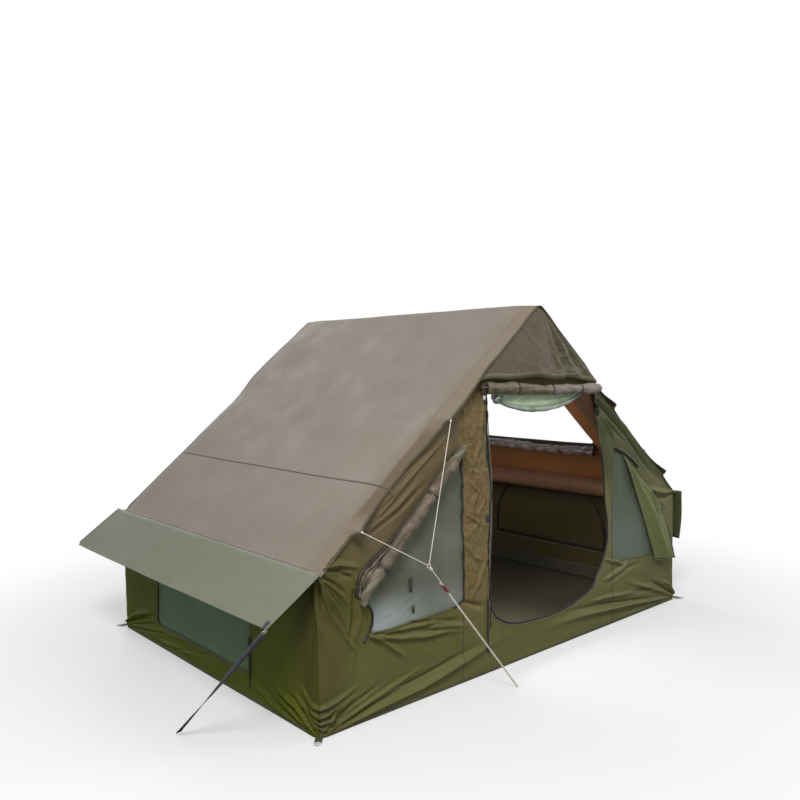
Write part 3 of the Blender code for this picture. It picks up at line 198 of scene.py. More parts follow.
MATERIALS = {
    # Painted shade on the roof's front rim: browner where the cloth turns down, darker at the very edge from just
    # above the lower tab, and lighter brown again from just below the upper tab upwards.
    "roof": cloth("roof_cloth", (0.262, 0.222, 0.180), (0.243, 0.208, 0.170), 1.2, 0.66, 0.05, 0.1,
                  [(1, -0.88, -1.06, (0.232, 0.186, 0.130), 0.8),
                   (1, -0.985, -1.012, (0.150, 0.110, 0.070), 1.0, 2, 0.905, 0.985),
                   (1, -0.985, -1.012, (0.235, 0.192, 0.140), 1.0, 2, 1.28, 1.37)]),
    # Of the front wall's tints, the last is painted shade from the left eave flap: darker towards the left corner, at
    # every height.
    "wall": cloth("wall_cloth", (0.135, 0.122, 0.030), (0.108, 0.102, 0.024), 2.6, 0.52, 0.22, 0.12,
                  [(2, 0.60, 0.86, (0.160, 0.120, 0.062), 0.95), (0, -0.63, -0.58, (0.195, 0.138, 0.056), 0.85),
                   (0, -0.38, -0.34, (0.150, 0.138, 0.040), 1.0), (0, 0.2, 0.6, (0.165, 0.168, 0.072), 0.9),
                   (0, 0.3, 0.6, (0.100, 0.102, 0.046), 1.0, 2, 0.72, 1.05),
                   (2, 0.50, 0.20, (0.128, 0.130, 0.040), 0.85), (0, -1.22, -1.44, (0.096, 0.086, 0.024), 0.85)],
                  0.02, gloss=0.2),
    "rear": cloth("rear_wall_cloth", (0.140, 0.140, 0.050), (0.120, 0.126, 0.044), 2.6, 0.52, 0.22, 0.12,
                  [(2, 0.85, 1.40, (0.150, 0.132, 0.070), 0.7)], 0.02, gloss=0.2),
    # Its tint is painted shade under the left eave flap: the side wall darker towards its front end, less so near the
    # ground.
    "side": cloth("side_wall_cloth", (0.112, 0.126, 0.012), (0.090, 0.108, 0.010), 2.0, 0.55, 0.22, 0.12,
                  [(1, -0.80, -1.00, (0.066, 0.064, 0.014), 1.0, 2, -0.15, 0.35)], 0.0, gloss=0.12),
    "right_side": cloth("right_side_cloth", (0.125, 0.132, 0.042), (0.100, 0.114, 0.036), 2.0, 0.52, 0.22, 0.12,
                        sheen=0.02, gloss=0.2),
    # Its tint is painted shade: the walls' inner faces darker above about half a metre up.
    "inside": cloth("wall_inside", (0.070, 0.051, 0.017), (0.050, 0.038, 0.013), 2.0, 0.7, 0.2, 0.12,
                    [(2, 0.50, 0.70, (0.034, 0.025, 0.012), 0.9)]),
    # Painted light: the bright orange is the sun shining through the roof onto its underside; past the front and rear
    # walls the rim is a dark olive instead.
    "lining": cloth("roof_lining_painted_glow", (0.560, 0.235, 0.080), (0.450, 0.170, 0.068), 1.8, 0.7, 0.1, 0.1,
                    [(1, -0.985, -1.0, (0.100, 0.086, 0.034), 1.0), (1, 0.985, 1.0, (0.100, 0.086, 0.034), 1.0)]),
    "flap": cloth("flap_cloth", (0.190, 0.200, 0.142), (0.178, 0.188, 0.134), 1.6, 0.64, 0.05),
    "hood": cloth("hood_cloth", (0.116, 0.089, 0.058), (0.092, 0.074, 0.047), 3.0, 0.55, 0.2, 0.12,
                  [(0, 0.06, 0.34, (0.108, 0.106, 0.062), 0.85)]),
    "roll": cloth("rolled_cloth", (0.215, 0.165, 0.120), (0.085, 0.066, 0.042), 12.0, 0.48, 0.5, depth=2.0),
    "door_roll": cloth("rolled_door", (0.210, 0.170, 0.108), (0.110, 0.092, 0.056), 12.0, 0.48, 0.5, 0.12,
                       [(0, -0.02, 0.12, (0.270, 0.222, 0.205), 0.7)], depth=2.0),
    "roll_lining": cloth("roll_lining", (0.250, 0.250, 0.180), (0.170, 0.180, 0.120), 14.0, 0.5, 0.4),
    "flap_inside": cloth("flap_inside", (0.078, 0.086, 0.030), (0.060, 0.070, 0.024), 2.4, 0.55, 0.2),
    "hood_hem": cloth("hood_hem", (0.165, 0.134, 0.088), (0.140, 0.116, 0.074), 6.0, 0.58, 0.15),
    "cover": cloth("loose_cover", (0.185, 0.198, 0.082), (0.150, 0.170, 0.064), 3.0, 0.48, 0.2),
    "sky_roll": cloth("roof_light_roll", (0.330, 0.250, 0.230), (0.070, 0.050, 0.045), 14.0, 0.32, 0.5, 0.1,
                      depth=2.2),
    # Near black: the zip beneath the gathers, and painted shade in them.
    "gather": cloth("gathered_edge_painted_shade", (0.034, 0.026, 0.019), (0.058, 0.046, 0.032), 30.0, 0.5, 0.4),
    "sky_hem": cloth("roof_light_hem", (0.085, 0.072, 0.066), (0.060, 0.050, 0.046), 6.0, 0.45, 0.3),
    "swag_hem": cloth("net_hem", (0.400, 0.460, 0.400), (0.220, 0.260, 0.210), 16.0, 0.6, 0.3),
    # Its tints are painted light showing through the net: paler towards its foot, palest at its lower left.
    "net": cloth("window_net_painted_light", (0.190, 0.198, 0.142), (0.118, 0.130, 0.088), 4.5, 0.8, 0.05, 0.3,
                 [(2, 0.62, 0.44, (0.280, 0.312, 0.290), 0.55),
                  (2, 0.60, 0.42, (0.430, 0.470, 0.460), 1.0, 0, -0.80, -1.12)], 0.2, 0.86),
    # Its tint is painted light showing through the net: paler towards its foot.
    "shade_net": cloth("right_net_painted_light", (0.070, 0.088, 0.046), (0.090, 0.112, 0.066), 3.0, 0.7, 0.05, 0.3,
                       [(2, 0.85, 0.50, (0.170, 0.205, 0.170), 0.6)], 0.2, 0.9),
    "side_net": cloth("side_net", (0.118, 0.205, 0.105), (0.142, 0.230, 0.122), 2.0, 0.8, 0.05, 0.3, (), 0.2, 0.94),
    "swag": cloth("rolled_net", (0.520, 0.640, 0.400), (0.400, 0.500, 0.330), 14.0, 0.7, 0.2, 0.3, (), 0.2, 0.9),
    # Painted light from the doorway: the groundsheet is brightest at its front left and darker towards the right and
    # the back.
    "tub": cloth("groundsheet", (0.185, 0.170, 0.108), (0.150, 0.138, 0.088), 1.6, 0.42, 0.3, 0.05,
                 [(0, 0.0, 0.8, (0.046, 0.042, 0.030), 0.9), (1, -0.6, 0.2, (0.050, 0.046, 0.032), 0.9)], 0.0),
    "beam": cloth("beam_sleeve", (0.300, 0.155, 0.088), (0.225, 0.118, 0.066), 5.0, 0.5, 0.2),
    "tie": woven("tie_tape", (0.030, 0.026, 0.022), (0.048, 0.042, 0.036), 0.0018, 0.6),
    "zip": woven("zip_tape", (0.008, 0.008, 0.008), (0.016, 0.016, 0.015), 0.0015, 0.5),
    "coil": plain("zip_coil", (0.012, 0.012, 0.012), (0.028, 0.028, 0.026), 0.32, 400.0),
    "piping": woven("piping", (0.200, 0.170, 0.100), (0.160, 0.140, 0.082), 0.0016, 0.7),
    "seam": woven("seam_tape", (0.085, 0.066, 0.038), (0.070, 0.055, 0.032), 0.0016, 0.7),
    "olive_seam": woven("olive_seam", (0.068, 0.066, 0.024), (0.085, 0.084, 0.032), 0.0016, 0.7),
    "webbing": woven("navy_webbing", (0.014, 0.018, 0.040), (0.022, 0.026, 0.050), 0.0022, 0.7),
    "strap": woven("strap_webbing", (0.016, 0.018, 0.026), (0.026, 0.028, 0.036), 0.0022, 0.6),
    "loop": woven("loop_webbing", (0.060, 0.064, 0.026), (0.045, 0.050, 0.020), 0.0022, 0.75),
    "rope": woven("guy_rope", (0.900, 0.850, 0.760), (0.780, 0.680, 0.560), 0.0030, 0.7),
    "red": plain("red_plastic", (0.330, 0.018, 0.020), (0.240, 0.012, 0.014), 0.35, 90.0),
    "white": plain("white_plastic", (0.720, 0.710, 0.670), (0.600, 0.590, 0.550), 0.45, 120.0),
    "metal": plain("ring_metal", (0.640, 0.650, 0.660), (0.480, 0.490, 0.500), 0.3, 150.0, 1.0),
    "valve": plain("valve_plastic", (0.020, 0.020, 0.022), (0.036, 0.036, 0.038), 0.4, 120.0),
}


# Numbers and shapes

def smooth(low, high, value):
    share = np.clip((value - low) / (high - low), 0, 1)
    return share * share * (3 - 2 * share)


def lattice(column, row, seed):
    value = np.sin(column * 127.1 + row * 311.7 + seed * 74.7) * 43758.5453
    return value - np.floor(value)


def waves(x, y, seed):
    """Smooth value noise from -1 to 1."""
    column, row = np.floor(x), np.floor(y)
    u, v = x - column, y - row
    u, v = u * u * (3 - 2 * u), v * v * (3 - 2 * v)
    low = lattice(column, row, seed) * (1 - u) + lattice(column + 1, row, seed) * u
    high = lattice(column, row + 1, seed) * (1 - u) + lattice(column + 1, row + 1, seed) * u
    return 2 * (low * (1 - v) + high * v) - 1


def crumple(x, y, size, seed):
    """Creased cloth: ridges where noise crosses zero, from about -0.5 to 1."""
    total = np.zeros_like(np.asarray(x, float))
    for octave in range(3):
        step = 2.0 ** octave / size
        shift = waves(x * step * 0.7 + 9, y * step * 0.7, seed + 5)
        ridge = 1 - np.abs(waves(x * step + shift * 0.6, y * step + shift * 0.4, seed + octave))
        total += (ridge ** 3 - 0.35) * 0.62 ** octave
    return total * 0.55


def fold_field(u, v, folds):
    """Height of tension folds on a cloth. A fold is its line, its width and its height."""
    total = np.zeros_like(np.asarray(u, float))
    for points, width, height in folds:
        points = np.array(points, float)
        steps = np.hypot(*(points[1:] - points[:-1]).T)
        ends = np.concatenate(([0], np.cumsum(steps)))
        best = np.full_like(total, 9.0)
        way = np.zeros_like(total)
        for (x0, y0), (x1, y1), start, step in zip(points[:-1], points[1:], ends, steps):
            share = np.clip(((u - x0) * (x1 - x0) + (v - y0) * (y1 - y0)) / step ** 2, 0, 1)
            away = np.hypot(u - x0 - share * (x1 - x0), v - y0 - share * (y1 - y0))
            nearer = away < best
            best = np.where(nearer, away, best)
            way = np.where(nearer, (start + share * step) / ends[-1], way)
        ratio = best / (width * (0.5 + 0.7 * way))
        fade = smooth(-0.08, 0.12, way) * (1 - smooth(0.55, 1.02, way))
        ridge = np.exp(-1.5 * (np.sqrt(ratio ** 2 + 0.04) - 0.2)) - 0.42 * np.exp(-(ratio / 1.9) ** 2)
        total += FOLD_SCALE * height * fade * ridge
    return total


def unit(vector):
    return vector / np.linalg.norm(vector)


def pair(first, second):
    """Two measures as float arrays of one shape."""
    return np.broadcast_arrays(np.asarray(first, float), np.asarray(second, float))


def headings(path):
    """The direction of a path at each point."""
    ahead = np.gradient(path, axis=0)
    return ahead / np.linalg.norm(ahead, axis=1)[:, None]


def steps_along(path):
    """The way along a path at each point."""
    return np.concatenate(([0], np.cumsum(np.linalg.norm(path[1:] - path[:-1], axis=1))))


def crossed(along, across):
    """A grid's UVs from its measures along and across."""
    return np.stack(np.broadcast_arrays(np.asarray(along)[:, None], np.asarray(across)[None, :]), -1)


def curve_through(points, spacing):
    """Points at an even spacing on a smooth line through the given ones."""
    points = np.array(points, float)
    points = np.vstack((2 * points[0] - points[1], points, 2 * points[-1] - points[-2]))
    t = np.linspace(0, 1, 16, endpoint=False)[:, None]
    fine = [0.5 * (2 * b + (c - a) * t + (2 * a - 5 * b + 4 * c - d) * t ** 2
                   + (3 * b - a - 3 * c + d) * t ** 3)
            for a, b, c, d in zip(points, points[1:], points[2:], points[3:])]
    return resampled(np.vstack(fine + [points[-2:-1]]), spacing)


def resampled(points, spacing):
    points = np.array(points, float)
    way = steps_along(points)
    count = max(2, int(round(way[-1] / spacing)) + 1)
    spots = np.linspace(0, way[-1], count)
    return np.stack([np.interp(spots, way, axis) for axis in points.T], 1)


def edges_resampled(corners, spacing):
    """A closed outline with its corners kept and its sides divided evenly."""
    corners = [np.array(corner, float) for corner in corners]
    points = []
    for a, b in zip(corners, corners[1:] + corners[:1]):
        count = max(1, int(round(np.linalg.norm(b - a) / spacing)))
        points += [a + (b - a) * step / count for step in range(count)]
    return np.array(points)


def inside(points, outline):
    """Which points lie in a polygon."""
    x, y = points[:, 0], points[:, 1]
    found = np.zeros(len(points), bool)
    for (x0, y0), (x1, y1) in zip(outline, np.roll(outline, -1, 0)):
        if y0 != y1:
            found ^= ((y0 > y) != (y1 > y)) & (x < (x1 - x0) * (y - y0) / (y1 - y0) + x0)
    return found


class Shape:
    """A mesh being put together: points, faces, each face's finish and UVs."""

    def __init__(self):
        self.points, self.faces, self.finishes, self.uvs, self.count = [], [], [], [], 0

    def add(self, points, faces, finish=0, uv=None):
        points = np.asarray(points, float).reshape(-1, 3)
        self.points.append(points)
        self.faces += [tuple(int(corner) + self.count for corner in face) for face in faces]
        self.finishes += [finish] * len(faces)
        self.uvs.append(points[:, :2] if uv is None else np.asarray(uv, float).reshape(-1, 2))
        self.count += len(points)

    def grid(self, points, finish, uv, round_across=False, caps=True):
        """A sheet of rows, or a tube where the rows close on themselves, with capped ends."""
        rows, columns = points.shape[:2]
        last = columns if round_across else columns - 1
        faces = []
        for row in range(rows - 1):
            for column in range(last):
                after = (column + 1) % columns
                faces.append((row * columns + column, row * columns + after,
                              (row + 1) * columns + after, (row + 1) * columns + column))
        if round_across and caps:
            faces.append(tuple(range(columns))[::-1])
            faces.append(tuple((rows - 1) * columns + column for column in range(columns)))
        self.add(points, faces, finish, uv)

    def tube(self, path, radius, sides, finish=0, flat=1.0, swell=None):
        """A tube along a path. swell(way, turn) changes its radius; flat squeezes its height."""
        path = np.array(path, float)
        side, up, way = frames_along(path)
        radius = np.broadcast_to(radius, len(path))
        turn = np.linspace(0, math.tau, sides, endpoint=False)
        reach = radius[:, None] * (1 if swell is None else swell(way[:, None], turn[None, :]))
        points = (path[:, None] + side[:, None] * (reach * np.cos(turn))[..., None]
                  + up[:, None] * (reach * np.sin(turn) * flat)[..., None])
        uv = np.stack(np.broadcast_arrays(way[:, None], turn[None, :] * radius[:, None]), -1)
        self.grid(points, finish, uv, True)

    def strip(self, surface, line, width, height, finish=0, sink=0.0006, spacing=0.01):
        """A flat band laid on a surface along a line in the surface's own measures."""
        line = resampled(line, spacing)
        ahead = headings(line)
        cross = np.stack((-ahead[:, 1], ahead[:, 0]), 1)
        section = ((-1, -sink), (-1, height * 0.5), (-0.7, height), (0, height), (0.7, height),
                   (1, height * 0.5), (1, -sink), (0, -sink))
        across = [offset * width / 2 for offset, _ in section]
        columns = [surface(*(line + cross * offset).T, out) for offset, (_, out) in zip(across, section)]
        self.grid(np.stack(columns, 1), finish, crossed(steps_along(line), across), True)

    def block(self, centre, axes, size, finish=0, taper=0.7):
        """A small rounded brick: its middle section is full and its top and foot are drawn in."""
        centre = np.array(centre, float)
        axes = [np.array(Vector(axis).normalized()) for axis in axes]
        corners = ((-1, -0.7), (-0.7, -1), (0.7, -1), (1, -0.7), (1, 0.7), (0.7, 1), (-0.7, 1), (-1, 0.7))
        rings = [[centre + axes[0] * x * share * size[0] / 2 + axes[1] * y * share * size[1] / 2
                  + axes[2] * height * size[2] for x, y in corners]
                 for height, share in ((-0.5, taper), (-0.32, 1), (0.32, 1), (0.5, taper))]
        self.grid(np.array(rings), finish, None, True)

    def make(self, name, finishes, body="tent", replaces=(), thick=0.0, outward=None):
        """The finished object, riding on a body, its finishes named as in MATERIALS."""
        mesh = bpy.data.meshes.new(name)
        mesh.from_pydata(np.concatenate(self.points).tolist(), [], self.faces)
        finishes = [finishes] if isinstance(finishes, str) else list(finishes)
        for finish in finishes:
            mesh.materials.append(MATERIALS[finish])
        mesh.polygons.foreach_set("material_index", self.finishes)
        layer = mesh.uv_layers.new(name="UVMap")
        corners = np.empty(len(mesh.loops), int)
        mesh.loops.foreach_get("vertex_index", corners)
        layer.data.foreach_set("uv", np.concatenate(self.uvs)[corners].ravel())
        mesh.polygons.foreach_set("use_smooth", [True] * len(self.faces))
        piece = placed(name, mesh)
        if outward is None:
            turn_faces_out(mesh)
        elif (np.array([face.normal for face in mesh.polygons]) @ np.array(outward, float)).sum() < 0:
            mesh.flip_normals()
        if thick:
            solid = piece.modifiers.new("Thickness", "SOLIDIFY")
            solid.thickness = thick
            solid.offset = -1
            solid.material_offset = len(finishes) - 1
        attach(piece, body)
        if replaces:
            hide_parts(*replaces)
        return piece


def turn_faces_out(mesh):
    work = bmesh.new()
    work.from_mesh(mesh)
    bmesh.ops.recalc_face_normals(work, faces=work.faces)
    work.to_mesh(mesh)
    work.free()


def frames_along(path):
    """Two directions across a path, carried along it without twist, and the way along it."""
    ahead = headings(path)
    start = np.array((0, 0, 1.0)) if abs(ahead[0][2]) < 0.9 else np.array((0, 1.0, 0))
    side = np.cross(ahead[0], start)
    sides = []
    for direction in ahead:
        side = unit(side - direction * (side @ direction))
        sides.append(side)
    sides = np.array(sides)
    return sides, np.cross(sides, ahead), steps_along(path)


def panel(name, outline, surface, spacing, finishes, body="tent", replaces=(), holes=(), outward=(0, -1, 0),
          thick=CLOTH, fine=None):
    """A cut cloth laid on a surface: even triangles inside, clean edges at its outline and holes.
    fine is a region and the closer spacing that it gets."""
    rings = [np.array(ring, float) for ring in (outline, *holes)]
    low, high = rings[0].min(0), rings[0].max(0)
    spots = hex_grid(low, high, spacing)
    if fine:
        region, fine_spacing = fine
        close = hex_grid(low, high, fine_spacing)
        spots = np.vstack((spots[~region(spots[:, 0], spots[:, 1])], close[region(close[:, 0], close[:, 1])]))
    spots = spots[on_cloth(spots, rings)]
    border = np.vstack(rings)
    tree = kdtree.KDTree(len(border))
    for index, (x, y) in enumerate(border):
        tree.insert((x, y, 0), index)
    tree.balance()
    room = 0.55 * (fine[1] if fine else spacing)
    spots = spots[[tree.find((x, y, 0))[2] > room for x, y in spots]]
    edges, first = [], 0
    for ring in rings:
        edges += [(first + k, first + (k + 1) % len(ring)) for k in range(len(ring))]
        first += len(ring)
    every = np.vstack((border, spots))
    result = geometry.delaunay_2d_cdt([Vector(spot) for spot in every], edges, [], 1, 1e-6)
    flat = np.array([tuple(point) for point in result[0]])
    faces = np.array(result[2])
    wanted = on_cloth(flat[faces].mean(1), rings)
    shape = Shape()
    shape.add(surface(flat[:, 0], flat[:, 1], 0.0), faces[wanted].tolist(), 0, flat)
    return shape.make(name, finishes, body, replaces, thick, outward)


def on_cloth(points, rings):
    """Which points lie in the first ring and in none of the others."""
    found = inside(points, rings[0])
    for ring in rings[1:]:
        found &= ~inside(points, ring)
    return found


def hex_grid(low, high, spacing):
    rows = np.arange(low[1], high[1], spacing * 0.866)
    columns = np.arange(low[0], high[0] + spacing, spacing)
    x, y = np.meshgrid(columns, rows)
    x = x + (np.arange(len(rows)) % 2)[:, None] * spacing / 2
    return np.stack((x.ravel(), y.ravel()), 1)


# Surfaces: walls, roof and eave flaps

# The left, front, right and rear wall: where each starts, the way it runs and faces, and its start on the way round
ORIGINS = np.array([(-HALF_X, HALF_Y), (-HALF_X, -HALF_Y), (HALF_X, -HALF_Y), (HALF_X, HALF_Y)])
RUNS = np.array([(0, -1), (1, 0), (0, 1), (-1, 0)])
OUTS = np.array([(-1, 0), (0, -1), (1, 0), (0, 1)])
STARTS = np.array([-2 * HALF_Y, 0, 2 * HALF_X, 2 * (HALF_X + HALF_Y)])
ROUND_END = 4 * HALF_X + 2 * HALF_Y
# The radius of the upright corners
WALL_CORNER = 0.055


def in_metres(*folds):
    """Folds as their line, width and height, from rows of width, height and points in millimetres."""
    return [([(x / 1000, y / 1000) for x, y in points], width / 1000, height / 1000)
            for width, height, *points in folds]


# Tension folds of the walls. Negative heights are hollows.
FRONT_FOLDS = in_metres(
    (13, -9, (-7, 735), (27, 634), (66, 541), (106, 400)),
    (12, -9, (-7, 738), (58, 662), (141, 559), (187, 450)),
    (13, 13, (0, 740), (42, 645), (100, 548), (150, 420)),
    (13, -7, (-12, 720), (-25, 587), (-13, 400)),
    (12, -9, (14, 735), (101, 679), (185, 601)),
    (12, 10, (50, 700), (140, 615), (205, 520)),
    (22, 17, (0, 745), (48, 656), (119, 555), (188, 408)),
    (16, -12, (0, 740), (75, 585), (150, 440)),
    (18, 12, (0, 735), (13, 680), (97, 516), (180, 392)),
    (16, -11, (0, 730), (30, 600), (75, 420)),
    (20, 13, (-10, 720), (4, 538), (42, 380)),
    (20, 15, (0, 760), (124, 761), (265, 717)),
    (16, -13, (0, 752), (120, 728), (240, 675)),
    (16, 10, (0, 748), (187, 710), (263, 640)),
    (20, -16, (207, 623), (210, 490), (182, 360)),
    (16, 10, (235, 600), (240, 490), (215, 380)),
    (16, 10, (159, 424), (205, 355), (199, 250)),
    (30, 19, (0, 0), (346, 44), (620, 64), (836, 100), (1120, 148), (1300, 165)),
    (13, -12, (100, 30), (346, 78), (660, 118), (900, 155), (1100, 175)),
    (12, 13, (0, 0), (150, 50), (300, 90), (500, 130), (680, 165)),
    (14, -10, (0, 10), (200, 105), (410, 165)),
    (13, 12, (0, 10), (100, 100), (240, 150)),
    (18, 13, (297, 394), (383, 345), (542, 220)),
    (20, 13, (300, 390), (495, 335), (820, 290)),
    (13, -9, (307, 395), (450, 372), (600, 355)),
    (15, 11, (360, 385), (578, 372), (882, 356)),
    (14, -10, (550, 395), (772, 361), (930, 330)),
    (16, 11, (660, 345), (800, 325), (980, 285)),
    (18, 9, (577, 312), (785, 300), (960, 262)),
    (22, 18, (2030, 1400), (2076, 1330), (2146, 1190), (2181, 994), (2216, 867), (2245, 700)),
    (32, 15, (2100, 1410), (2453, 1178), (2788, 912), (2970, 770)),
    (20, -17, (2070, 1400), (2379, 1173), (2647, 937), (2860, 800)),
    (18, 14, (2040, 1395), (2195, 1230), (2293, 1109)),
    (16, -12, (2030, 1410), (2120, 1210), (2150, 980)),
    (14, 10, (2030, 1350), (2110, 1090), (2150, 860), (2160, 750)),
    (14, -10, (2020, 1380), (2270, 1200), (2420, 1090)),
    (26, 17, (2970, 750), (2830, 752), (2620, 800), (2520, 850)),
    (20, -13, (2970, 740), (2870, 715), (2720, 735)),
    (18, 12, (2588, 816), (2754, 704), (2908, 632)),
    (18, 14, (3000, 20), (2897, 120), (2800, 170)),
    (16, -13, (3000, 20), (2814, 118), (2626, 206)),
    (20, 15, (3000, 20), (2710, 124), (2360, 248)),
    (15, -11, (3000, 20), (2719, 127), (2413, 159)),
    (18, -15, (3000, 20), (2193, 137), (1675, 187)),
    (26, 18, (3000, 20), (2455, 85), (1950, 125), (1500, 130)),
    (16, -10, (3000, 10), (2790, 29), (2200, 50)),
    (18, 14, (2145, 291), (2361, 336), (2447, 380)),
    (16, 12, (2161, 421), (2293, 375), (2400, 345)),
    (16, -11, (2190, 260), (2420, 320), (2600, 330)),
    (16, 11, (2018, 190), (2193, 180), (2536, 145)),
    (15, -9, (286, 925), (409, 1060), (592, 1168), (814, 1280)),
    (16, 9, (268, 875), (466, 972), (654, 1096)),
    (13, 10, (348, 934), (517, 1065), (642, 1153)),
    (13, 8, (380, 990), (600, 1130), (880, 1330)),
    (13, -8, (300, 860), (500, 955), (700, 1090)),
    (18, 12, (930, 1400), (970, 1200), (990, 1000)),
    (16, 11, (1080, 1420), (1050, 1220), (980, 1050)),
    (14, 10, (949, 1162), (991, 1109), (962, 1063)),
    (15, 12, (962, 1043), (1032, 975), (995, 900)),
    (15, 12, (945, 868), (1037, 815), (986, 762)),
    (13, 10, (1090, 930), (1030, 860), (1070, 780)),
    (14, 11, (950, 700), (1000, 640), (1080, 600)),
    (14, 11, (1090, 620), (1030, 500), (960, 420)),
    (24, -13, (930, 420), (1020, 380), (1080, 360)),
    (14, 10, (955, 560), (990, 480), (985, 400)),
)
LEFT_FOLDS = in_metres(
    (22, 14, (-2100, 20), (-1900, 125), (-1600, 203)),
    (18, 12, (-2100, 15), (-1811, 100), (-1580, 161)),
    (14, -12, (-2100, 18), (-1850, 112), (-1620, 180)),
    (16, -10, (-2100, 10), (-1774, 58), (-1412, 123), (-1156, 149)),
    (18, 12, (-2100, 10), (-1793, 70), (-1467, 112), (-1100, 138)),
    (16, 10, (-1600, 40), (-1244, 62), (-1000, 105)),
    (13, -8, (-1500, 30), (-1127, 86), (-880, 131)),
    (16, 15, (0, 0), (-169, 99), (-403, 146)),
    (14, 14, (0, 0), (-262, 78), (-492, 141)),
    (11, -11, (0, 0), (-220, 90), (-450, 145)),
    (16, 14, (0, 0), (-384, 40), (-600, 115)),
    (12, -9, (0, 0), (-320, 60), (-550, 120)),
    (14, 13, (0, 10), (-91, 111), (-210, 155)),
    (11, -9, (0, 10), (-130, 100), (-290, 150)),
    (22, 13, (-12, 735), (-6, 547), (10, 360)),
    (18, -8, (-30, 720), (-45, 505), (-45, 280)),
    (24, 7, (-20, 730), (-100, 500), (-140, 350)),
)
CORNER_FOLDS = in_metres(
    (15, 14, (-130, 210), (-70, 150), (0, 126), (90, 140), (260, 190)),
    (13, 16, (-100, 165), (-50, 110), (0, 90), (70, 104), (200, 150)),
    (11, 15, (-85, 125), (-40, 80), (5, 60), (60, 70), (150, 105)),
    (9, 12, (-60, 85), (-20, 47), (15, 34), (60, 41), (110, 60)),
)


def random_fan(corner, reach, low_angle, high_angle, count, width, height):
    """Folds that a pinned corner pulls into a cloth, at seeded angles in degrees."""
    folds = []
    for index in range(count):
        share = (index + RNG.uniform(0.2, 0.8)) / count
        angle = math.radians(low_angle + (high_angle - low_angle) * share)
        far = reach * RNG.uniform(0.6, 1.0)
        bend = RNG.uniform(-0.12, 0.12)
        middle = (corner[0] + far * 0.5 * math.cos(angle + bend), corner[1] + far * 0.5 * math.sin(angle + bend))
        end = (corner[0] + far * math.cos(angle), corner[1] + far * math.sin(angle))
        sign = 1 if index % 2 else -0.8
        folds.append(([corner, middle, end], width * RNG.uniform(0.7, 1.2), sign * height * RNG.uniform(0.7, 1.1)))
    return folds


RIGHT_START, REAR_START = STARTS[2], STARTS[3]
RIGHT_FOLDS = (random_fan((RIGHT_START, 0.0), 0.55, 8, 50, 7, 0.018, 0.011)
               + random_fan((REAR_START, 0.0), 0.6, 130, 172, 7, 0.018, 0.011)
               + random_fan((RIGHT_START, 0.74), 0.4, -85, -50, 4, 0.02, 0.010)
               + random_fan((REAR_START, 0.74), 0.4, -130, -95, 4, 0.02, 0.010))
REAR_FOLDS = (random_fan((REAR_START, 0.0), 0.8, 6, 45, 8, 0.022, 0.012)
              + random_fan((ROUND_END, 0.0), 0.8, 135, 174, 8, 0.022, 0.012)
              + random_fan((REAR_START, 0.74), 0.6, -80, -15, 5, 0.024, 0.010)
              + random_fan((ROUND_END, 0.74), 0.6, -165, -100, 5, 0.024, 0.010)
              + random_fan((REAR_START + 1.0, 1.5), 0.6, -100, -60, 4, 0.025, 0.008)
              + random_fan((REAR_START + 2.0, 1.5), 0.6, -120, -80, 4, 0.025, 0.008))


# Each set of folds with the ways round the walls that it reaches from and to, and its highest point
FOLD_SETS = (
    (FRONT_FOLDS, -0.3, RIGHT_START + 0.3, math.inf),
    (CORNER_FOLDS, -0.3, 0.4, 0.32),
    (LEFT_FOLDS, -math.inf, 0.3, math.inf),
    (RIGHT_FOLDS, RIGHT_START - 0.3, REAR_START + 0.3, math.inf),
    (REAR_FOLDS, REAR_START - 0.3, math.inf, math.inf),
)
REAR_MIDDLE, REAR_DOOR_HALF = REAR_START + HALF_X, 0.475
# Zips that a slider runs along, where the cloth lies flat: way round the walls, and the run's two heights
TRACKS = ((-0.57, 0.08, 0.62), (REAR_MIDDLE - REAR_DOOR_HALF, 0.30, 1.48))


def wall_relief(s, z):
    """How far the walls' cloth stands out of its plane."""
    s, z = pair(s, z)
    total = np.zeros(s.shape)
    for folds, low, high, top in FOLD_SETS:
        near = (s >= low) & (s <= high) & (z < top)
        if near.any():
            total[near] += fold_field(s[near], z[near], folds)
    soft = 0.006 * waves(s * 2.1, z * 2.6, 3) + 0.0034 * waves(s * 7, z * 6, 4)
    creased = 0.0024 * crumple(s, z * 0.8, 0.11, 6)
    pillar = smooth(0.86, 0.93, s) * (1 - smooth(1.10, 1.13, s)) * smooth(0.4, 0.6, z)
    creased += pillar * 0.015 * crumple(s * 1.3 + z * 0.25, z * 0.6, 0.055, 8)
    total += soft + creased
    top = np.where((s > 0) & (s < RIGHT_START), gable_line(s - HALF_X) - z, EAVE - z)
    top = np.where(s > REAR_START, gable_line(REAR_MIDDLE - s) - z, top)
    total *= smooth(0, 0.04, s - STARTS[0]) * smooth(0, 0.04, ROUND_END - s)
    # Behind the right flap the cloth lies flat
    covered = smooth(0.34, 0.43, z) * (s > RIGHT_START + 0.02) * (s < REAR_START - 0.02)
    total = total * (1 - covered) - 0.005 * covered
    for at, low, high in TRACKS:
        beside = smooth(0.05, 0.018, np.abs(s - at)) * smooth(low - 0.04, low, z) * smooth(high + 0.04, high, z)
        total = total * (1 - beside) - 0.0048 * beside
    return total * (0.15 + 0.85 * smooth(0, 0.05, z)) * (0.25 + 0.75 * smooth(0, 0.07, top))


def gable_line(x):
    return EAVE + (HALF_X - np.abs(x)) * GRADE


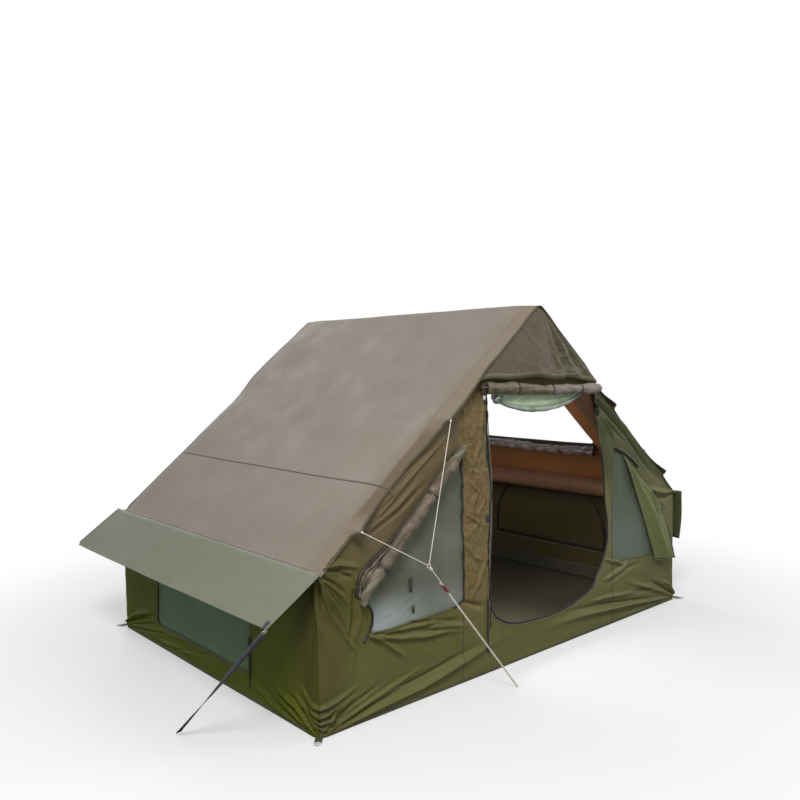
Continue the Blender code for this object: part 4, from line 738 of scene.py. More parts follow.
def wall(s, z, out=0.0):
    """A point on the walls' outer face: the way round from the front left corner, and the height."""
    s, z = pair(s, z)
    flat_s = s.ravel()
    side = np.clip(np.searchsorted(STARTS, flat_s, "right") - 1, 0, 3)
    place = ORIGINS[side] + RUNS[side] * (flat_s - STARTS[side])[:, None]
    normal = OUTS[side].astype(float)
    for index, corner in enumerate(list(STARTS[1:]) + [STARTS[0], ROUND_END]):
        share = (flat_s - corner) / WALL_CORNER
        near = np.abs(share) < 1
        if not near.any():
            continue
        before, after = (OUTS[index], OUTS[index + 1]) if index < 3 else (OUTS[3], OUTS[0])
        at = ORIGINS[index + 1] if index < 3 else ORIGINS[0]
        angle = (share[near] + 1) * math.pi / 4
        turned = before * np.cos(angle)[:, None] + after * np.sin(angle)[:, None]
        normal[near] = turned
        place[near] = at - WALL_CORNER * (before + after) + WALL_CORNER * turned
    lift = wall_relief(flat_s, z.ravel()) + np.broadcast_to(out, s.shape).ravel()
    place = place + normal * lift[:, None]
    return np.column_stack((place, z.ravel())).reshape(*s.shape, 3)


# Guy tabs on the roof's front rim, as ways up the slope from the eave
LOWER_TAB, UPPER_TAB = 0.25, 0.985
# Where the rim starts to droop and ends, how far it droops, and how round the ridge is
RIM_START, RIM_EDGE, RIM_DROP = 0.93, 1.09, 0.034
RIDGE_ROUND = 0.048
# The front edge's reach by the way up from the eave: traced on the left, with smaller tabs on the right
RIM_UPS = (0.0, 0.11, 0.225, 0.236, 0.245, 0.262, 0.30, 0.35, 0.43, 0.52, 0.69, 0.86, 0.960, 0.972, 0.985, 1.003,
           1.06, 1.105, 1.15, 1.21, 1.27, 1.40, 2.0)
RIM_LEFT = (1.060, 1.059, 1.064, 1.090, 1.121, 1.122, 1.102, 1.084, 1.066, 1.061, 1.062, 1.072, 1.080, 1.098, 1.123,
            1.122, 1.108, 1.098, 1.094, 1.096, 1.100, 1.092, 1.090)
RIM_RIGHT = (1.060, 1.060, 1.062, 1.075, 1.092, 1.092, 1.080, 1.070, 1.062, 1.060, 1.060, 1.062, 1.066, 1.075, 1.090,
             1.090, 1.078, 1.070, 1.068, 1.068, 1.074, 1.086, 1.090)


def tab_pull(b):
    """1 at a guy tab and 0 away from it, with a long side up the slope and a short one below."""
    up = SLOPE - np.abs(b)
    total = np.zeros_like(up)
    for tab in (LOWER_TAB, UPPER_TAB):
        away = up - tab
        width = np.where(away > 0, 0.12, 0.02)
        total = np.maximum(total, np.exp(-(away / width) ** 2))
    return total


def crest(b):
    """How far the rim's droop is let go: fully along the slopes, little near the ridge."""
    return 1 - 0.8 * smooth(0.90, 0.62, np.abs(b))


def rim_reach(b):
    """How far forward the roof's front edge comes."""
    up = SLOPE - np.abs(b)
    return np.where(np.asarray(b) < 0, np.interp(up, RIM_UPS, RIM_LEFT), np.interp(up, RIM_UPS, RIM_RIGHT))


def roof(b, y, out=0.0):
    """A point on the roof's outer face: the signed way down the slope from the ridge, and Y."""
    b, y = pair(b, y)
    touch = RIDGE_ROUND * math.tan(PITCH)
    turn = np.clip(b / touch, -1, 1) * PITCH
    x = np.where(np.abs(b) < touch, RIDGE_ROUND * np.sin(turn), b * math.cos(PITCH))
    crown = RIDGE - RIDGE_ROUND / math.cos(PITCH)
    z = np.where(np.abs(b) < touch, crown + RIDGE_ROUND * np.cos(turn), RIDGE - np.abs(b) * math.sin(PITCH))
    share = np.abs(b) / SLOPE
    span = np.clip(1 - (y / 0.97) ** 2, 0, 1)
    sag = -0.014 * np.sin(np.clip(share, 0, 1) * math.pi) * span
    past = np.clip((np.abs(y) - RIM_START) / (RIM_EDGE - RIM_START), 0, 1.3)
    pulled = np.where(y < 0, tab_pull(b), 0)
    drop = -RIM_DROP * past ** 2 * (1 - 0.85 * pulled) * crest(b)
    soft = 0.0035 * waves(b * 2.2 + 7, y * 1.6, 21) + 0.0012 * waves(b * 7, y * 5, 22)
    rim = smooth(0.9, 1.0, np.abs(y)) * 0.0035 * waves(b * 9, y * 2, 23)
    eave = smooth(0.25, 0.0, SLOPE - np.abs(b)) * -0.010
    lift = sag + drop + (soft + rim) * smooth(0, 0.1, SLOPE - np.abs(b)) + eave + out
    return np.stack((x + np.sin(turn) * lift, y, z + np.cos(turn) * lift), -1)


# The left flap's seam, and how steeply the flap hangs from it
FLAP_ROOT = Vector((-HALF_X - 0.0003, 0, 0.745))
DROOP = math.radians(33.7)


def left_flap(y, reach, out=0.0):
    """The staked eave flap: the way along the eave, and out from its seam."""
    y, reach = pair(y, reach)
    share = reach / FLAP_DEPTH
    sag = -0.010 * np.sin(np.clip(share, 0, 1) * math.pi * 0.5) * (1 - (y / FLAP_HALF) ** 2)
    edge = 0.004 * share * waves(y * 3.1, share * 0.7, 31) + 0.0025 * share * waves(y * 9, share, 32)
    lift = sag + edge + 0.0028 + out
    x = FLAP_ROOT.x - reach * math.cos(DROOP) - lift * math.sin(DROOP)
    return np.stack((x, y, FLAP_ROOT.z - reach * math.sin(DROOP) + lift * math.cos(DROOP)), -1)


def right_flap(y, drop, out=0.0):
    """The hanging eave flap on the right."""
    y, drop = pair(y, drop)
    share = drop / FLAP_DEPTH
    swing = share * (0.010 + 0.009 * waves(y * 2.6, share * 0.6, 41) + 0.005 * waves(y * 8, share * 0.4, 42))
    swing = swing + 0.016 * share * smooth(-1.0, -FLAP_HALF, y) * np.sin(share * 4.2)
    return np.stack((HALF_X + 0.002 + swing + out, y, FLAP_ROOT.z - drop), -1)


# Outlines of the openings: the front ones as X and height, the side one as way round and height

def along_front(points):
    return [(x + HALF_X, z) for x, z in points]


DOOR_LINE = curve_through(along_front([
    (-0.392, 1.53), (-0.388, 1.2), (-0.362, 0.95), (-0.356, 0.8), (-0.378, 0.56), (-0.384, 0.43), (-0.367, 0.345),
    (-0.305, 0.272), (-0.141, 0.216), (0.215, 0.203), (0.498, 0.262), (0.575, 0.34), (0.65, 0.448), (0.686, 0.598),
    (0.655, 0.788), (0.614, 1.038), (0.573, 1.284), (0.52, 1.53),
]), 0.012)
OUTER_ZIP = curve_through(along_front([
    (-0.412, 1.53), (-0.405, 1.4), (-0.378, 1.121), (-0.378, 0.86), (-0.395, 0.60), (-0.398, 0.40), (-0.402, 0.179),
]), 0.012)
LEFT_WINDOW = along_front([
    (-0.580, 1.10), (-0.580, 0.48), (-0.592, 0.438), (-0.625, 0.415), (-0.70, 0.408), (-0.95, 0.402), (-1.18, 0.398),
    (-1.196, 0.425), (-1.186, 0.485), (-1.210, 0.535), (-1.258, 0.580), (-1.215, 0.645), (-0.64, 1.195),
    (-0.600, 1.20), (-0.582, 1.16),
])
RIGHT_WINDOW = along_front([
    (0.745, 1.05), (0.738, 0.75), (0.742, 0.50), (0.760, 0.400), (0.90, 0.386), (1.18, 0.366), (1.285, 0.372),
    (1.320, 0.42), (1.330, 0.55), (1.300, 0.64), (0.83, 1.065), (0.785, 1.095), (0.752, 1.09),
])
SIDE_WINDOW = [(-1.61, 0.155), (-1.61, 0.60), (-1.585, 0.62), (-0.60, 0.62), (-0.57, 0.59), (-0.57, 0.155),
               (-0.60, 0.13), (-1.58, 0.13)]


def rounded_outline(points, spacing):
    """A closed outline through the points, its sides straight and its corners slightly soft."""
    points = [np.array(point, float) for point in points]
    soft = []
    for before, corner, after in zip([points[-1]] + points[:-1], points, points[1:] + [points[0]]):
        cut = min(0.02, 0.3 * np.linalg.norm(before - corner), 0.3 * np.linalg.norm(after - corner))
        start, end = corner + unit(before - corner) * cut, corner + unit(after - corner) * cut
        soft += [start, (start + end) / 4 + corner / 2, end]
    return edges_resampled(soft, spacing)


def rounded_box(low, high, corner, steps, spacing):
    """An upright box's outline with round corners."""
    points = []
    for x, y, start in ((high[0], low[1], -90), (high[0], high[1], 0), (low[0], high[1], 90), (low[0], low[1], 180)):
        middle = (x - corner if x == high[0] else x + corner, y + corner if y == low[1] else y - corner)
        for step in range(steps + 1):
            turn = math.radians(start + 90 * step / steps)
            points.append((middle[0] + corner * math.cos(turn), middle[1] + corner * math.sin(turn)))
    return edges_resampled(points, spacing)


def closed(outline):
    return np.vstack((outline, outline[:1]))


def front_top(x):
    """The front wall's top, just under the roof's rim."""
    b = np.abs(x) / math.cos(PITCH)
    past = (HALF_Y - RIM_START) / (RIM_EDGE - RIM_START)
    drop = RIM_DROP * past ** 2 * (1 - 0.85 * tab_pull(b)) * crest(b) / math.cos(PITCH)
    crown = np.minimum(gable_line(x), RIDGE - 0.02 - 0.55 * np.abs(x) ** 1.5)
    return crown - drop - 0.0045


def gable_outline(start):
    """A gable wall's outline on the unrolled walls, from its start corner."""
    across = np.arange(0, 2 * HALF_X + 1e-6, EDGE_STEP)
    top = front_top(across - HALF_X) if start == 0 else gable_line(across - HALF_X) - 0.026
    top = np.minimum(top, gable_line(across - HALF_X) - 0.0045)
    heights = np.arange(0.004, top[0], EDGE_STEP)
    return ([(start + s, 0.002) for s in across] + [(start + 2 * HALF_X, z) for z in heights[1:]]
            + [(start + s, z) for s, z in zip(across[::-1], top[::-1])] + [(start, z) for z in heights[:0:-1]])


def side_outline(start):
    across = np.arange(0, 2 * HALF_Y + 1e-6, EDGE_STEP)
    heights = np.arange(0.004 + EDGE_STEP, EAVE - 0.012, EDGE_STEP)
    return ([(start + s, 0.002) for s in across] + [(start + 2 * HALF_Y, z) for z in heights]
            + [(start + s, EAVE - 0.008) for s in across[::-1]] + [(start, z) for z in heights[::-1]])


def add_walls():
    inset, sunk = 0.004, 0.0015
    door_sides = DOOR_LINE[DOOR_LINE[:, 1] < np.where(DOOR_LINE[:, 0] < HALF_X, 1.490, 1.466)]
    door_hole = np.vstack((door_sides, [(0.533 + HALF_X - 0.006, 1.462), (-0.392 + HALF_X + 0.006, 1.494)]))
    panel("front_wall", gable_outline(0.0), wall, 0.0088, ["wall", "inside"],
          replaces=("front_wall_left", "front_wall_right", "front_wall_sill", "front_pillar_left",
                    "front_pillar_right", "front_gable"),
          holes=[door_hole, rounded_outline(LEFT_WINDOW, 0.012), rounded_outline(RIGHT_WINDOW, 0.012)],
          fine=(lambda s, z: ((s < 0.75) & (z < 0.28)) | ((s < 0.26) & (z < 0.78)), 0.0060))
    panel("left_wall_cloth", side_outline(STARTS[0]), wall, 0.0100, ["side", "inside"], replaces=("left_wall",),
          holes=[rounded_outline(SIDE_WINDOW, 0.014)], outward=(-1, 0, 0),
          fine=(lambda s, z: (z < 0.22) | (s > -0.25), 0.0065))
    panel("right_wall_cloth", side_outline(RIGHT_START), wall, 0.016, ["right_side", "inside"],
          replaces=("right_wall",), holes=[arch_outline(0.0)], outward=(1, 0, 0))
    panel("arch_cover_cloth", arch_outline(inset), lambda s, z, out=0.0: wall(s, z, out - sunk), 0.017,
          ["right_side", "inside"], replaces=("arch_window_cover",), outward=(1, 0, 0))
    panel("rear_wall_cloth", gable_outline(REAR_START), wall, 0.017, ["rear", "inside"],
          replaces=("rear_wall",), holes=[rear_door_outline(0.0)], outward=(0, 1, 0))
    panel("rear_door_cloth", rear_door_outline(inset), lambda s, z, out=0.0: wall(s, z, out - sunk), 0.02,
          ["rear", "inside"], replaces=("rear_door",), outward=(0, 1, 0))
    for name, outline, node_name, finish, outward in (
            ("left_front_net", LEFT_WINDOW, "front_net_left", "net", (0, -1, 0)),
            ("right_front_net", RIGHT_WINDOW, "front_net_right", "shade_net", (0, -1, 0)),
            ("left_side_net", SIDE_WINDOW, "side_net", "side_net", (-1, 0, 0))):
        panel(name, rounded_outline(outset(outline, 0.012), 0.016),
              lambda s, z, out=0.0: wall(s, z, out - 0.0035 - 0.004 * net_slack(s, z)), 0.009, [finish, finish],
              replaces=(node_name,), outward=outward, thick=NET)


NET_FOLDS = in_metres(
    (12, 400, (343, 653), (425, 656), (533, 644), (660, 648)),
    (12, 400, (500, 845), (650, 862), (794, 850), (930, 852)),
    (12, 350, (600, 800), (535, 741), (570, 642), (568, 530), (580, 440)),
    (16, 300, (330, 430), (500, 470), (720, 560), (900, 700)),
    (12, -300, (640, 1000), (760, 950), (900, 970)),
)


def net_slack(s, z):
    """Slack in the window nets, from 0 to 2: slanting waves with fine creases."""
    s, z = pair(s, z)
    return (1 + 0.6 * waves(s * 5 + z * 3, z * 9 - s * 4, 15) + 0.4 * crumple(s + z * 0.5, z, 0.16, 16)
            + fold_field(s, z, NET_FOLDS))


def outset(points, by):
    """A convex outline moved outwards."""
    points = np.array(points, float)
    middle = points.mean(0)
    away = points - middle
    return middle + away * (1 + by / np.linalg.norm(away, axis=1))[:, None]


def arch_outline(inset):
    """The zipped arch window on the right wall, on the unrolled walls."""
    low, high = RIGHT_START + 0.57 + inset, RIGHT_START + 1.61 - inset
    foot, top = 0.235 + inset, 0.67 - inset
    along, rise = 0.27, 0.34
    corners = [(low, foot), (high, foot), (high, top - rise)]
    turns = [(high - along, math.pi / 2 * step / 11) for step in range(1, 12)]
    turns += [(low + along, math.pi / 2 * (1 + step / 11)) for step in range(12)]
    corners += [(at + along * math.cos(turn), top - rise + rise * math.sin(turn)) for at, turn in turns]
    return edges_resampled(corners, 0.014)


def rear_door_outline(inset):
    half = REAR_DOOR_HALF - inset
    return rounded_box((REAR_MIDDLE - half, 0.205 + inset), (REAR_MIDDLE + half, 1.53 - inset), 0.15, 6, 0.017)


def roof_light_outline(inset):
    half = LIGHT_HALF - inset
    return rounded_box((SLOPE - LIGHT_HIGH + inset, -half), (SLOPE - LIGHT_LOW - inset, half), 0.04, 4, 0.02)


def add_roof():
    """One cloth over both slopes, with the roof light cut out."""
    ways = np.arange(-SLOPE, SLOPE + 1e-6, 2 * SLOPE / 420)
    front = [(b, -rim_reach(b)) for b in ways]
    rear = [(b, 1.09 - 0.006 * math.sin(abs(b) * 9)) for b in ways[::-1]]
    sides = np.arange(-1.07, 1.08, 0.02)
    outline = front + [(SLOPE, y) for y in sides] + rear + [(-SLOPE, y) for y in sides[::-1]]
    panel("roof_cover", outline, roof, 0.030, ["roof", "lining"], replaces=(
        "roof_left_lower", "roof_left_upper", "roof_right_front", "roof_right_lower", "roof_right_rear",
        "roof_right_upper"), holes=[roof_light_outline(0.0)], outward=(0, 0, 1),
        fine=(lambda b, y: np.abs(y) > 0.9, 0.015))
    seams = Shape()
    seam = SLOPE - LIGHT_LOW
    for line in ([(-seam, -1.075), (-seam, 1.08)], [(seam, -1.075), (seam, -LIGHT_HALF)],
                 [(seam, LIGHT_HALF), (seam, 1.08)]):
        seams.strip(roof, line, 0.009, 0.0011)
    seams.strip(roof, [(b, -rim_reach(b) + 0.006) for b in ways[3:-3]], 0.010, 0.0010, spacing=0.012)
    seams.strip(roof, [(b, 1.08) for b in ways[3:-3]], 0.010, 0.0010, spacing=0.02)
    seams.strip(roof, roof_light_outline(-0.008), 0.014, 0.0012, spacing=0.015)
    for side in (-1, 1):
        eave = side * (SLOPE - 0.006)
        seams.strip(roof, [(eave, -1.052), (eave, 1.075)], 0.016, 0.0085, 1)
    seams.make("roof_seams", ["seam", "roof"])


def add_flaps():
    half = FLAP_HALF
    for name, surface, body, node_name, outward in (
            ("left_flap_cloth", left_flap, "left_flap", "left_eave_flap", (-0.5, 0, 1)),
            ("right_flap_cloth", right_flap, "right_flap", "right_eave_flap", (1, 0, 0))):
        corners = [(-half, 0.0), (half, 0.0), (half - 0.012, 0.3), (half - 0.05, FLAP_DEPTH),
                   (-half + 0.012, FLAP_DEPTH)]
        panel(name, edges_resampled(corners, 0.02), surface, 0.022, ["flap", "flap_inside"], body, (node_name,),
              outward=outward)
        hems = Shape()
        hems.strip(surface, [(-half + 0.02, 0.318), (half - 0.06, 0.318)], 0.014, 0.0012, spacing=0.02)
        for side in (-1, 1):
            hems.strip(surface, [(side * (half - 0.008), 0.01), (side * (half - 0.02), 0.30)], 0.012, 0.0012)
        hems.make(name.replace("cloth", "hem"), "flap", body)


# The guy, its knots and the kept fittings' finishes

GUY_JUNCTION = np.array((-0.935, -1.169, 0.695))
GUY_PEG = np.array((-0.43, -1.28, 0.004))
# How far forward the tabs' tips come, the ropes' clearance, and the ring's radius with its wire's
TAB_TIP, GAP, RING_REACH = HALF_Y + 0.04 + 0.035, 0.0003, 0.009 + 0.002
# How far apart the main line's strands are, and the tensioner's share of the way down and its length
STRAND_GAP, TENSIONER_AT, TENSIONER_LENGTH = 0.016, 0.18, 0.045


def rope_curve(name, points, node_name):
    data = bpy.data.curves.new(name, "CURVE")
    data.dimensions = "3D"
    spline = data.splines.new("POLY")
    spline.points.add(len(points) - 1)
    for point, place in zip(spline.points, points):
        point.co = (*place, 1)
    data.bevel_depth = ROPE
    data.bevel_resolution = 3
    data.use_fill_caps = True
    data.materials.append(MATERIALS["rope"])
    piece = placed(name, data)
    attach(piece, "tent")
    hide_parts(node_name)
    return piece


def between(first, last, count):
    return [first + (last - first) * share for share in np.linspace(0, 1, count)]


def add_guy():
    run = unit(GUY_PEG - GUY_JUNCTION)
    side = unit(np.cross(run, (0, 0, 1)))
    clear = RING_REACH + GAP
    for name, tab, node_name in (("upper_leg", UPPER_TAB, "guy_upper_leg"), ("lower_leg", LOWER_TAB, "guy_lower_leg")):
        b = SLOPE - tab
        tip = np.array((-b * math.cos(PITCH), -(TAB_TIP + ROPE + GAP), RIDGE - b * math.sin(PITCH)))
        to_ring = unit(GUY_JUNCTION - tip)
        end = GUY_JUNCTION - to_ring * clear
        piece = rope_curve(name + "_rope", between(tip, end, 17), node_name)
        knot = add_knots(name + "_knot", [(tip + to_ring * 0.008, to_ring, 0.0045)])
    loop = STRAND_GAP / 2
    length = np.linalg.norm(GUY_PEG - GUY_JUNCTION)
    first = GUY_JUNCTION + run * clear
    out_end = GUY_PEG - run * loop
    centre = out_end - side * loop
    tail = GUY_JUNCTION + run * (length * TENSIONER_AT - TENSIONER_LENGTH / 2 - 0.02) - side * STRAND_GAP
    turns = [math.pi * step / 12 for step in range(1, 12)]
    points = np.array(between(first, out_end, 25)
                      + [centre + (side * math.cos(turn) + run * math.sin(turn)) * loop for turn in turns]
                      + between(out_end - side * STRAND_GAP, tail, 25))
    piece = rope_curve("main_line_rope", points, "guy_main")
    knot = add_knots("main_line_knots", [(GUY_JUNCTION + run * 0.02, run, 0.0075), (tail + run * 0.01, run, 0.006)])


def add_knots(name, places):
    knots = Shape()
    for at, run, size in places:
        knots.tube(curve_through(knot_line(at, run, size), 0.002), ROPE, 8)
    return knots.make(name, "rope")


def knot_line(at, run, size):
    """A small overhand knot round a rope."""
    run = np.array(run, float)
    side = unit(np.cross(run, (0.3, 0.2, 1)))
    up = np.cross(side, run)
    turns = [math.tau * 2 * step / 16 for step in range(17)]
    return [at + (side * math.cos(turn) + up * math.sin(turn)) * size * 0.7 + run * size * (step / 8 - 1) * 0.8
            for step, turn in enumerate(turns)]


def paint_kept_nodes():
    """The finishes of the CAD nodes that stay."""
    finishes = {"guy_ring": "rope", "tensioner": "red", "flap_strap_ring": "metal", "door_slider_left": "coil",
                "door_slider_right": "coil", "side_window_slider": "coil", "rear_door_slider": "coil",
                "inflation_valve": "valve", "valve_cap": "valve"}
    for name, finish in finishes.items():
        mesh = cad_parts[name].data
        mesh.materials.clear()
        mesh.materials.append(MATERIALS[finish])
        mesh.polygons.foreach_set("material_index", [0] * len(mesh.polygons))


# Rolled cloths and their ties

def roll(name, path, radius, finish, seed, ties, node_name, lumps, stripes, taper=None, most=1.0):
    """A cloth rolled on itself: lumps, wound creases, its free edge as a step, and spiral ends.
    ties are the shares of its length where it is tied, and most is its largest radius. taper(share) narrows
    it, and stripes(share, turn) says where its second finish shows, besides the spirals of its ends.
    Gives back its path and its radii."""
    sides, edge_step = 36, 0.0055
    path = resampled(path, 0.005)
    side, up, way = frames_along(path)
    turn = np.linspace(0, math.tau, sides, endpoint=False)
    w, t = way[:, None], turn[None, :]
    length = way[-1]
    edge = 2.4 + 0.9 * waves(w * 5, 0 * w, seed)
    behind = np.mod(t - edge, math.tau) / math.tau
    swell = (1 + lumps * waves(w * 9, np.cos(t) * 0.9 + seed, seed + 1)
             + lumps * 0.7 * waves(w * 21, np.sin(t) * 1.6, seed + 2))
    wound = np.sin(2 * t + w * 52 + 3.0 * waves(w * 6, t * 0, seed + 4))
    swell = swell + 0.07 * wound * waves(w * 11, t * 0 + 2, seed + 5)
    swell = swell + 0.20 * crumple(w * 1.2 + 0.012 * np.cos(t), 0.03 * np.sin(t) + 0.01 * t, 0.045, seed + 6)
    for spot in ties:
        away = (w / length - spot) * length
        swell = (swell * (1 - 0.30 * np.exp(-(away / 0.013) ** 2))
                 + 0.05 * np.exp(-(away / 0.045) ** 2) * np.sin(6 * t + seed))
    reach = np.minimum(radius * swell + edge_step * (1 - behind) - edge_step / 2, most)
    if taper is not None:
        reach = reach * taper(way / length)[:, None]
    rows = (path[:, None] + side[:, None] * (reach * np.cos(t))[..., None]
            + up[:, None] * (reach * np.sin(t))[..., None])
    first, last = [], []
    for share in np.linspace(0, 0.96, 9)[1:]:
        spiral = np.mod((1 - share) * 4.0 - turn / math.tau, 1.0)
        depth = 0.012 * spiral - 0.009
        for end_row, store, index, after in ((rows[0], first, 0, 1), (rows[-1], last, -1, -2)):
            aim = unit(path[after] - path[index])
            store.append(path[index] + (end_row - path[index]) * (1 - share) + aim * depth[:, None])
    points = np.concatenate((np.array(first[::-1]), rows, np.array(last)))
    shape = Shape()
    total = np.concatenate((np.full(len(first), 0.0), way, np.full(len(last), length)))
    shape.grid(points, 0, crossed(total, turn * radius), True)
    # The ends show the second finish in a spiral; on the door roll and the roof light's roll it is dark, as painted
    # shade between the wound layers.
    row, column = np.divmod(np.arange((len(points) - 1) * sides), sides)
    spiral = np.mod(row * 0.5 - column / sides, 1.0)
    at_end = (row < len(first)) | (row >= len(points) - len(last) - 1)
    share = (row - len(first)) / len(path)
    second = np.where(at_end, spiral < 0.5, stripes(share, column / sides))
    shape.finishes[:len(second)] = [int(flag) for flag in second]
    shape.make(name, finish, replaces=(node_name,))
    return path, reach


def band(shape, path, reach, share):
    """A tape loop round a roll, at a share of its length."""
    width, thick, turns = 0.013, 0.0016, 40
    spot = int(share * (len(path) - 1))
    axis = np.array(Vector(path[spot + 1] - path[spot - 1]).normalized())
    radius = reach[spot].mean() + 0.001
    side = unit(np.cross(axis, (0.2, 0.3, 1.0)))
    up = np.cross(axis, side)
    section = ((-1, 0), (1, 0), (1, 1), (0.6, 1.3), (-0.6, 1.3), (-1, 1))
    rows = []
    for index in range(turns):
        turn = math.tau * index / turns
        out = side * math.cos(turn) + up * math.sin(turn)
        wobble = 1 + 0.03 * math.sin(3 * turn)
        rows.append([path[spot] + axis * (x * width / 2 + 0.002 * math.sin(turn)) + out * (radius * wobble + y * thick)
                     for x, y in section])
    rows.append(rows[0])
    uv = crossed(np.linspace(0, math.tau * radius, turns + 1), np.array([x for x, _ in section]) * width / 2)
    shape.grid(np.array(rows), 0, uv, True, caps=False)
    return path[spot], reach[spot].mean()


def tape(shape, path, across, width, thick=0.0012):
    """A flat tape along a path, its width along the direction across, which may turn along the path."""
    path = curve_through(path, 0.006)
    ahead = headings(path)
    if callable(across):
        across = np.array([across(share) for share in np.linspace(0, 1, len(path))])
    across = np.broadcast_to(np.array(across, float), path.shape)
    across = across - ahead * (across * ahead).sum(1)[:, None]
    across /= np.linalg.norm(across, axis=1)[:, None]
    up = np.cross(across, ahead)
    section = ((-1, -1), (1, -1), (1, 1), (-1, 1))
    points = np.stack([path + across * (x * width / 2) + up * (y * thick / 2) for x, y in section], 1)
    shape.grid(points, 0, crossed(steps_along(path), [x * width / 2 for x, _ in section]), True)


def tie_tapes(name, node_name, path, reach, shares, knot, size, tail, width):
    """Tape loops round a roll, each with its buckle, set off by knot(radius), and its hanging end."""
    for index, share in enumerate(shares):
        ties = Shape()
        middle, radius = band(ties, path, reach, share)
        at = middle + knot(radius)
        ties.block(at, ((1, 0, 0), (0, 1, 0), (0.2, 0, 1)), size, 1)
        tape(ties, [at + step for step in tail], (1, 0, 0), width)
        ties.make(f"{name}_{index + 1}", ["tie", "coil"], replaces=(f"{node_name}_{index + 1}",))


def add_rolls():
    start, end = np.array((-0.446, -1.0925, 1.512)), np.array((0.536, -1.0925, 1.476))
    path = curve_through([start, start * 0.75 + end * 0.25 + (0, 0, 0.002), (start + end) / 2 + (0, 0, -0.006),
                          start * 0.25 + end * 0.75, end], 0.01)
    shares = (0.25, 0.55, 0.82)
    path, reach = roll("door_roll_cloth", path, 0.0300, ["door_roll", "zip"], 51, shares, "door_roll", lumps=0.15,
                       stripes=lambda share, turn: False)
    tie_tapes("door_roll_tape", "door_roll_tie", path, reach, shares, lambda radius: (0, -0.8 * radius, -0.7 * radius),
              (0.011, 0.008, 0.022), ((0.002, 0, -0.006), (0.005, -0.004, -0.016), (0.003, -0.002, -0.026)), 0.008)

    top, elbow, foot = np.array(((-0.603, -1.083, 1.222), (-1.222, -1.086, 0.640), (-1.262, -1.079, 0.560)))
    path = curve_through([top, top * 0.66 + elbow * 0.34 + (0.004, 0, 0.006), top * 0.33 + elbow * 0.67, elbow,
                          foot], 0.01)
    shares = (0.33, 0.80)
    path, reach = roll("window_cover_roll_cloth", path, 0.0285, ["roll", "roll_lining"], 61, shares,
                       "window_cover_roll", lumps=0.13,
                       taper=lambda share: 1 - 0.45 * smooth(0.86, 1.0, share) - 0.35 * smooth(0.16, 0, share),
                       stripes=lambda share, turn: ((share > 0.82) & (np.mod(turn * 3 + share * 9, 1.0) < 0.42))
                       | ((share < 0.16) & (np.mod(turn * 2 + share * 7, 1.0) < 0.3)))
    tie_tapes("window_cover_tape", "window_cover_tie", path, reach, shares, lambda radius: (0.020, -0.022, -0.012),
              (0.010, 0.007, 0.018), ((0, 0, 0), (0.006, 0, -0.012), (0.008, 0.001, -0.026)), 0.007)

    sky_b, half = SLOPE - 0.485, 0.672
    low, high = roof(np.array([sky_b, sky_b]), np.array([-half, half]), -0.041)
    path = curve_through([low, low * 0.7 + high * 0.3 + (0, 0, -0.008), low * 0.4 + high * 0.6 + (0, 0, 0.002), high],
                         0.01)
    shares = (0.2, 0.5, 0.8)
    path, reach = roll("roof_light_roll_cloth", path, 0.033, ["sky_roll", "sky_hem"], 71, shares,
                       "skylight_flap_roll", lumps=0.30, most=0.0345,
                       stripes=lambda share, turn: (turn > 0.19) & (turn < 0.46 + 0.02 * np.sin(share * 40)))
    hem = Shape()
    hem.strip(lambda b, y, out=0.0: roof(b, y, -CLOTH - 0.001 - out),
              [(SLOPE - 0.500, -0.67), (SLOPE - 0.500, 0.67)], 0.042, 0.003)
    hem.make("roof_light_hem", "sky_hem")
    ties = Shape()
    for share in shares:
        band(ties, path, reach, share)
    ties.make("roof_light_ties", "tie")


# Hoods, the rolled net under the door and the loose window cover

def hood_sheet(u, v, front, out=0.0):
    """The cap over a gable: u across from -1 to 1, v down from the tip."""
    u, v = pair(u, v)
    if front:
        hem = 1.541 + 0.012 * np.cos(u * 2.2) - 0.016 * u - 0.005 * np.sin(u * 9)
    else:
        hem = 1.565 + 0.010 * np.cos(u * 2.5)
    tip = 1.925
    z = tip + (hem - tip) * v
    half = (RIDGE - z) / GRADE - 0.012
    x = u * half
    b = np.abs(x) / math.cos(PITCH)
    edge = np.abs(u) ** 1.5
    reach = 0.030 + 0.050 * v ** 1.2 * (1 - edge) if front else 0.022 + 0.016 * v * (1 - edge)
    fan = np.arctan2(x, tip + 0.10 - z)
    crushed = smooth(0.05, 0.55, u) if front else 0.6
    pleats = 0.016 * np.sin(fan * 26 + 2.0 * waves(u * 2, v * 2, 81)) * smooth(0.08, 0.5, v) * crushed
    pleats = pleats + 0.0045 * np.sin(fan * 9 + 1) * v
    pleats = pleats + (0.005 + 0.024 * crushed * smooth(0.25, 0.7, v)) * crumple(x * 0.9 + z * 0.5, z, 0.085, 83)
    roll_in = 0.026 * smooth(0.93, 1.03, v) * (1 - edge)
    lift = reach + pleats * (0.75 if front else 0.5) * (1 - np.abs(u) ** 8) - roll_in + out
    sign = -1 if front else 1
    z = z + 0.004 * waves(u * 4, v, 84) * v + 0.017 * np.clip(1 - v, 0, 1) ** 8 * (1 - u ** 2)
    return np.stack((x, sign * (HALF_Y + lift), z), -1)


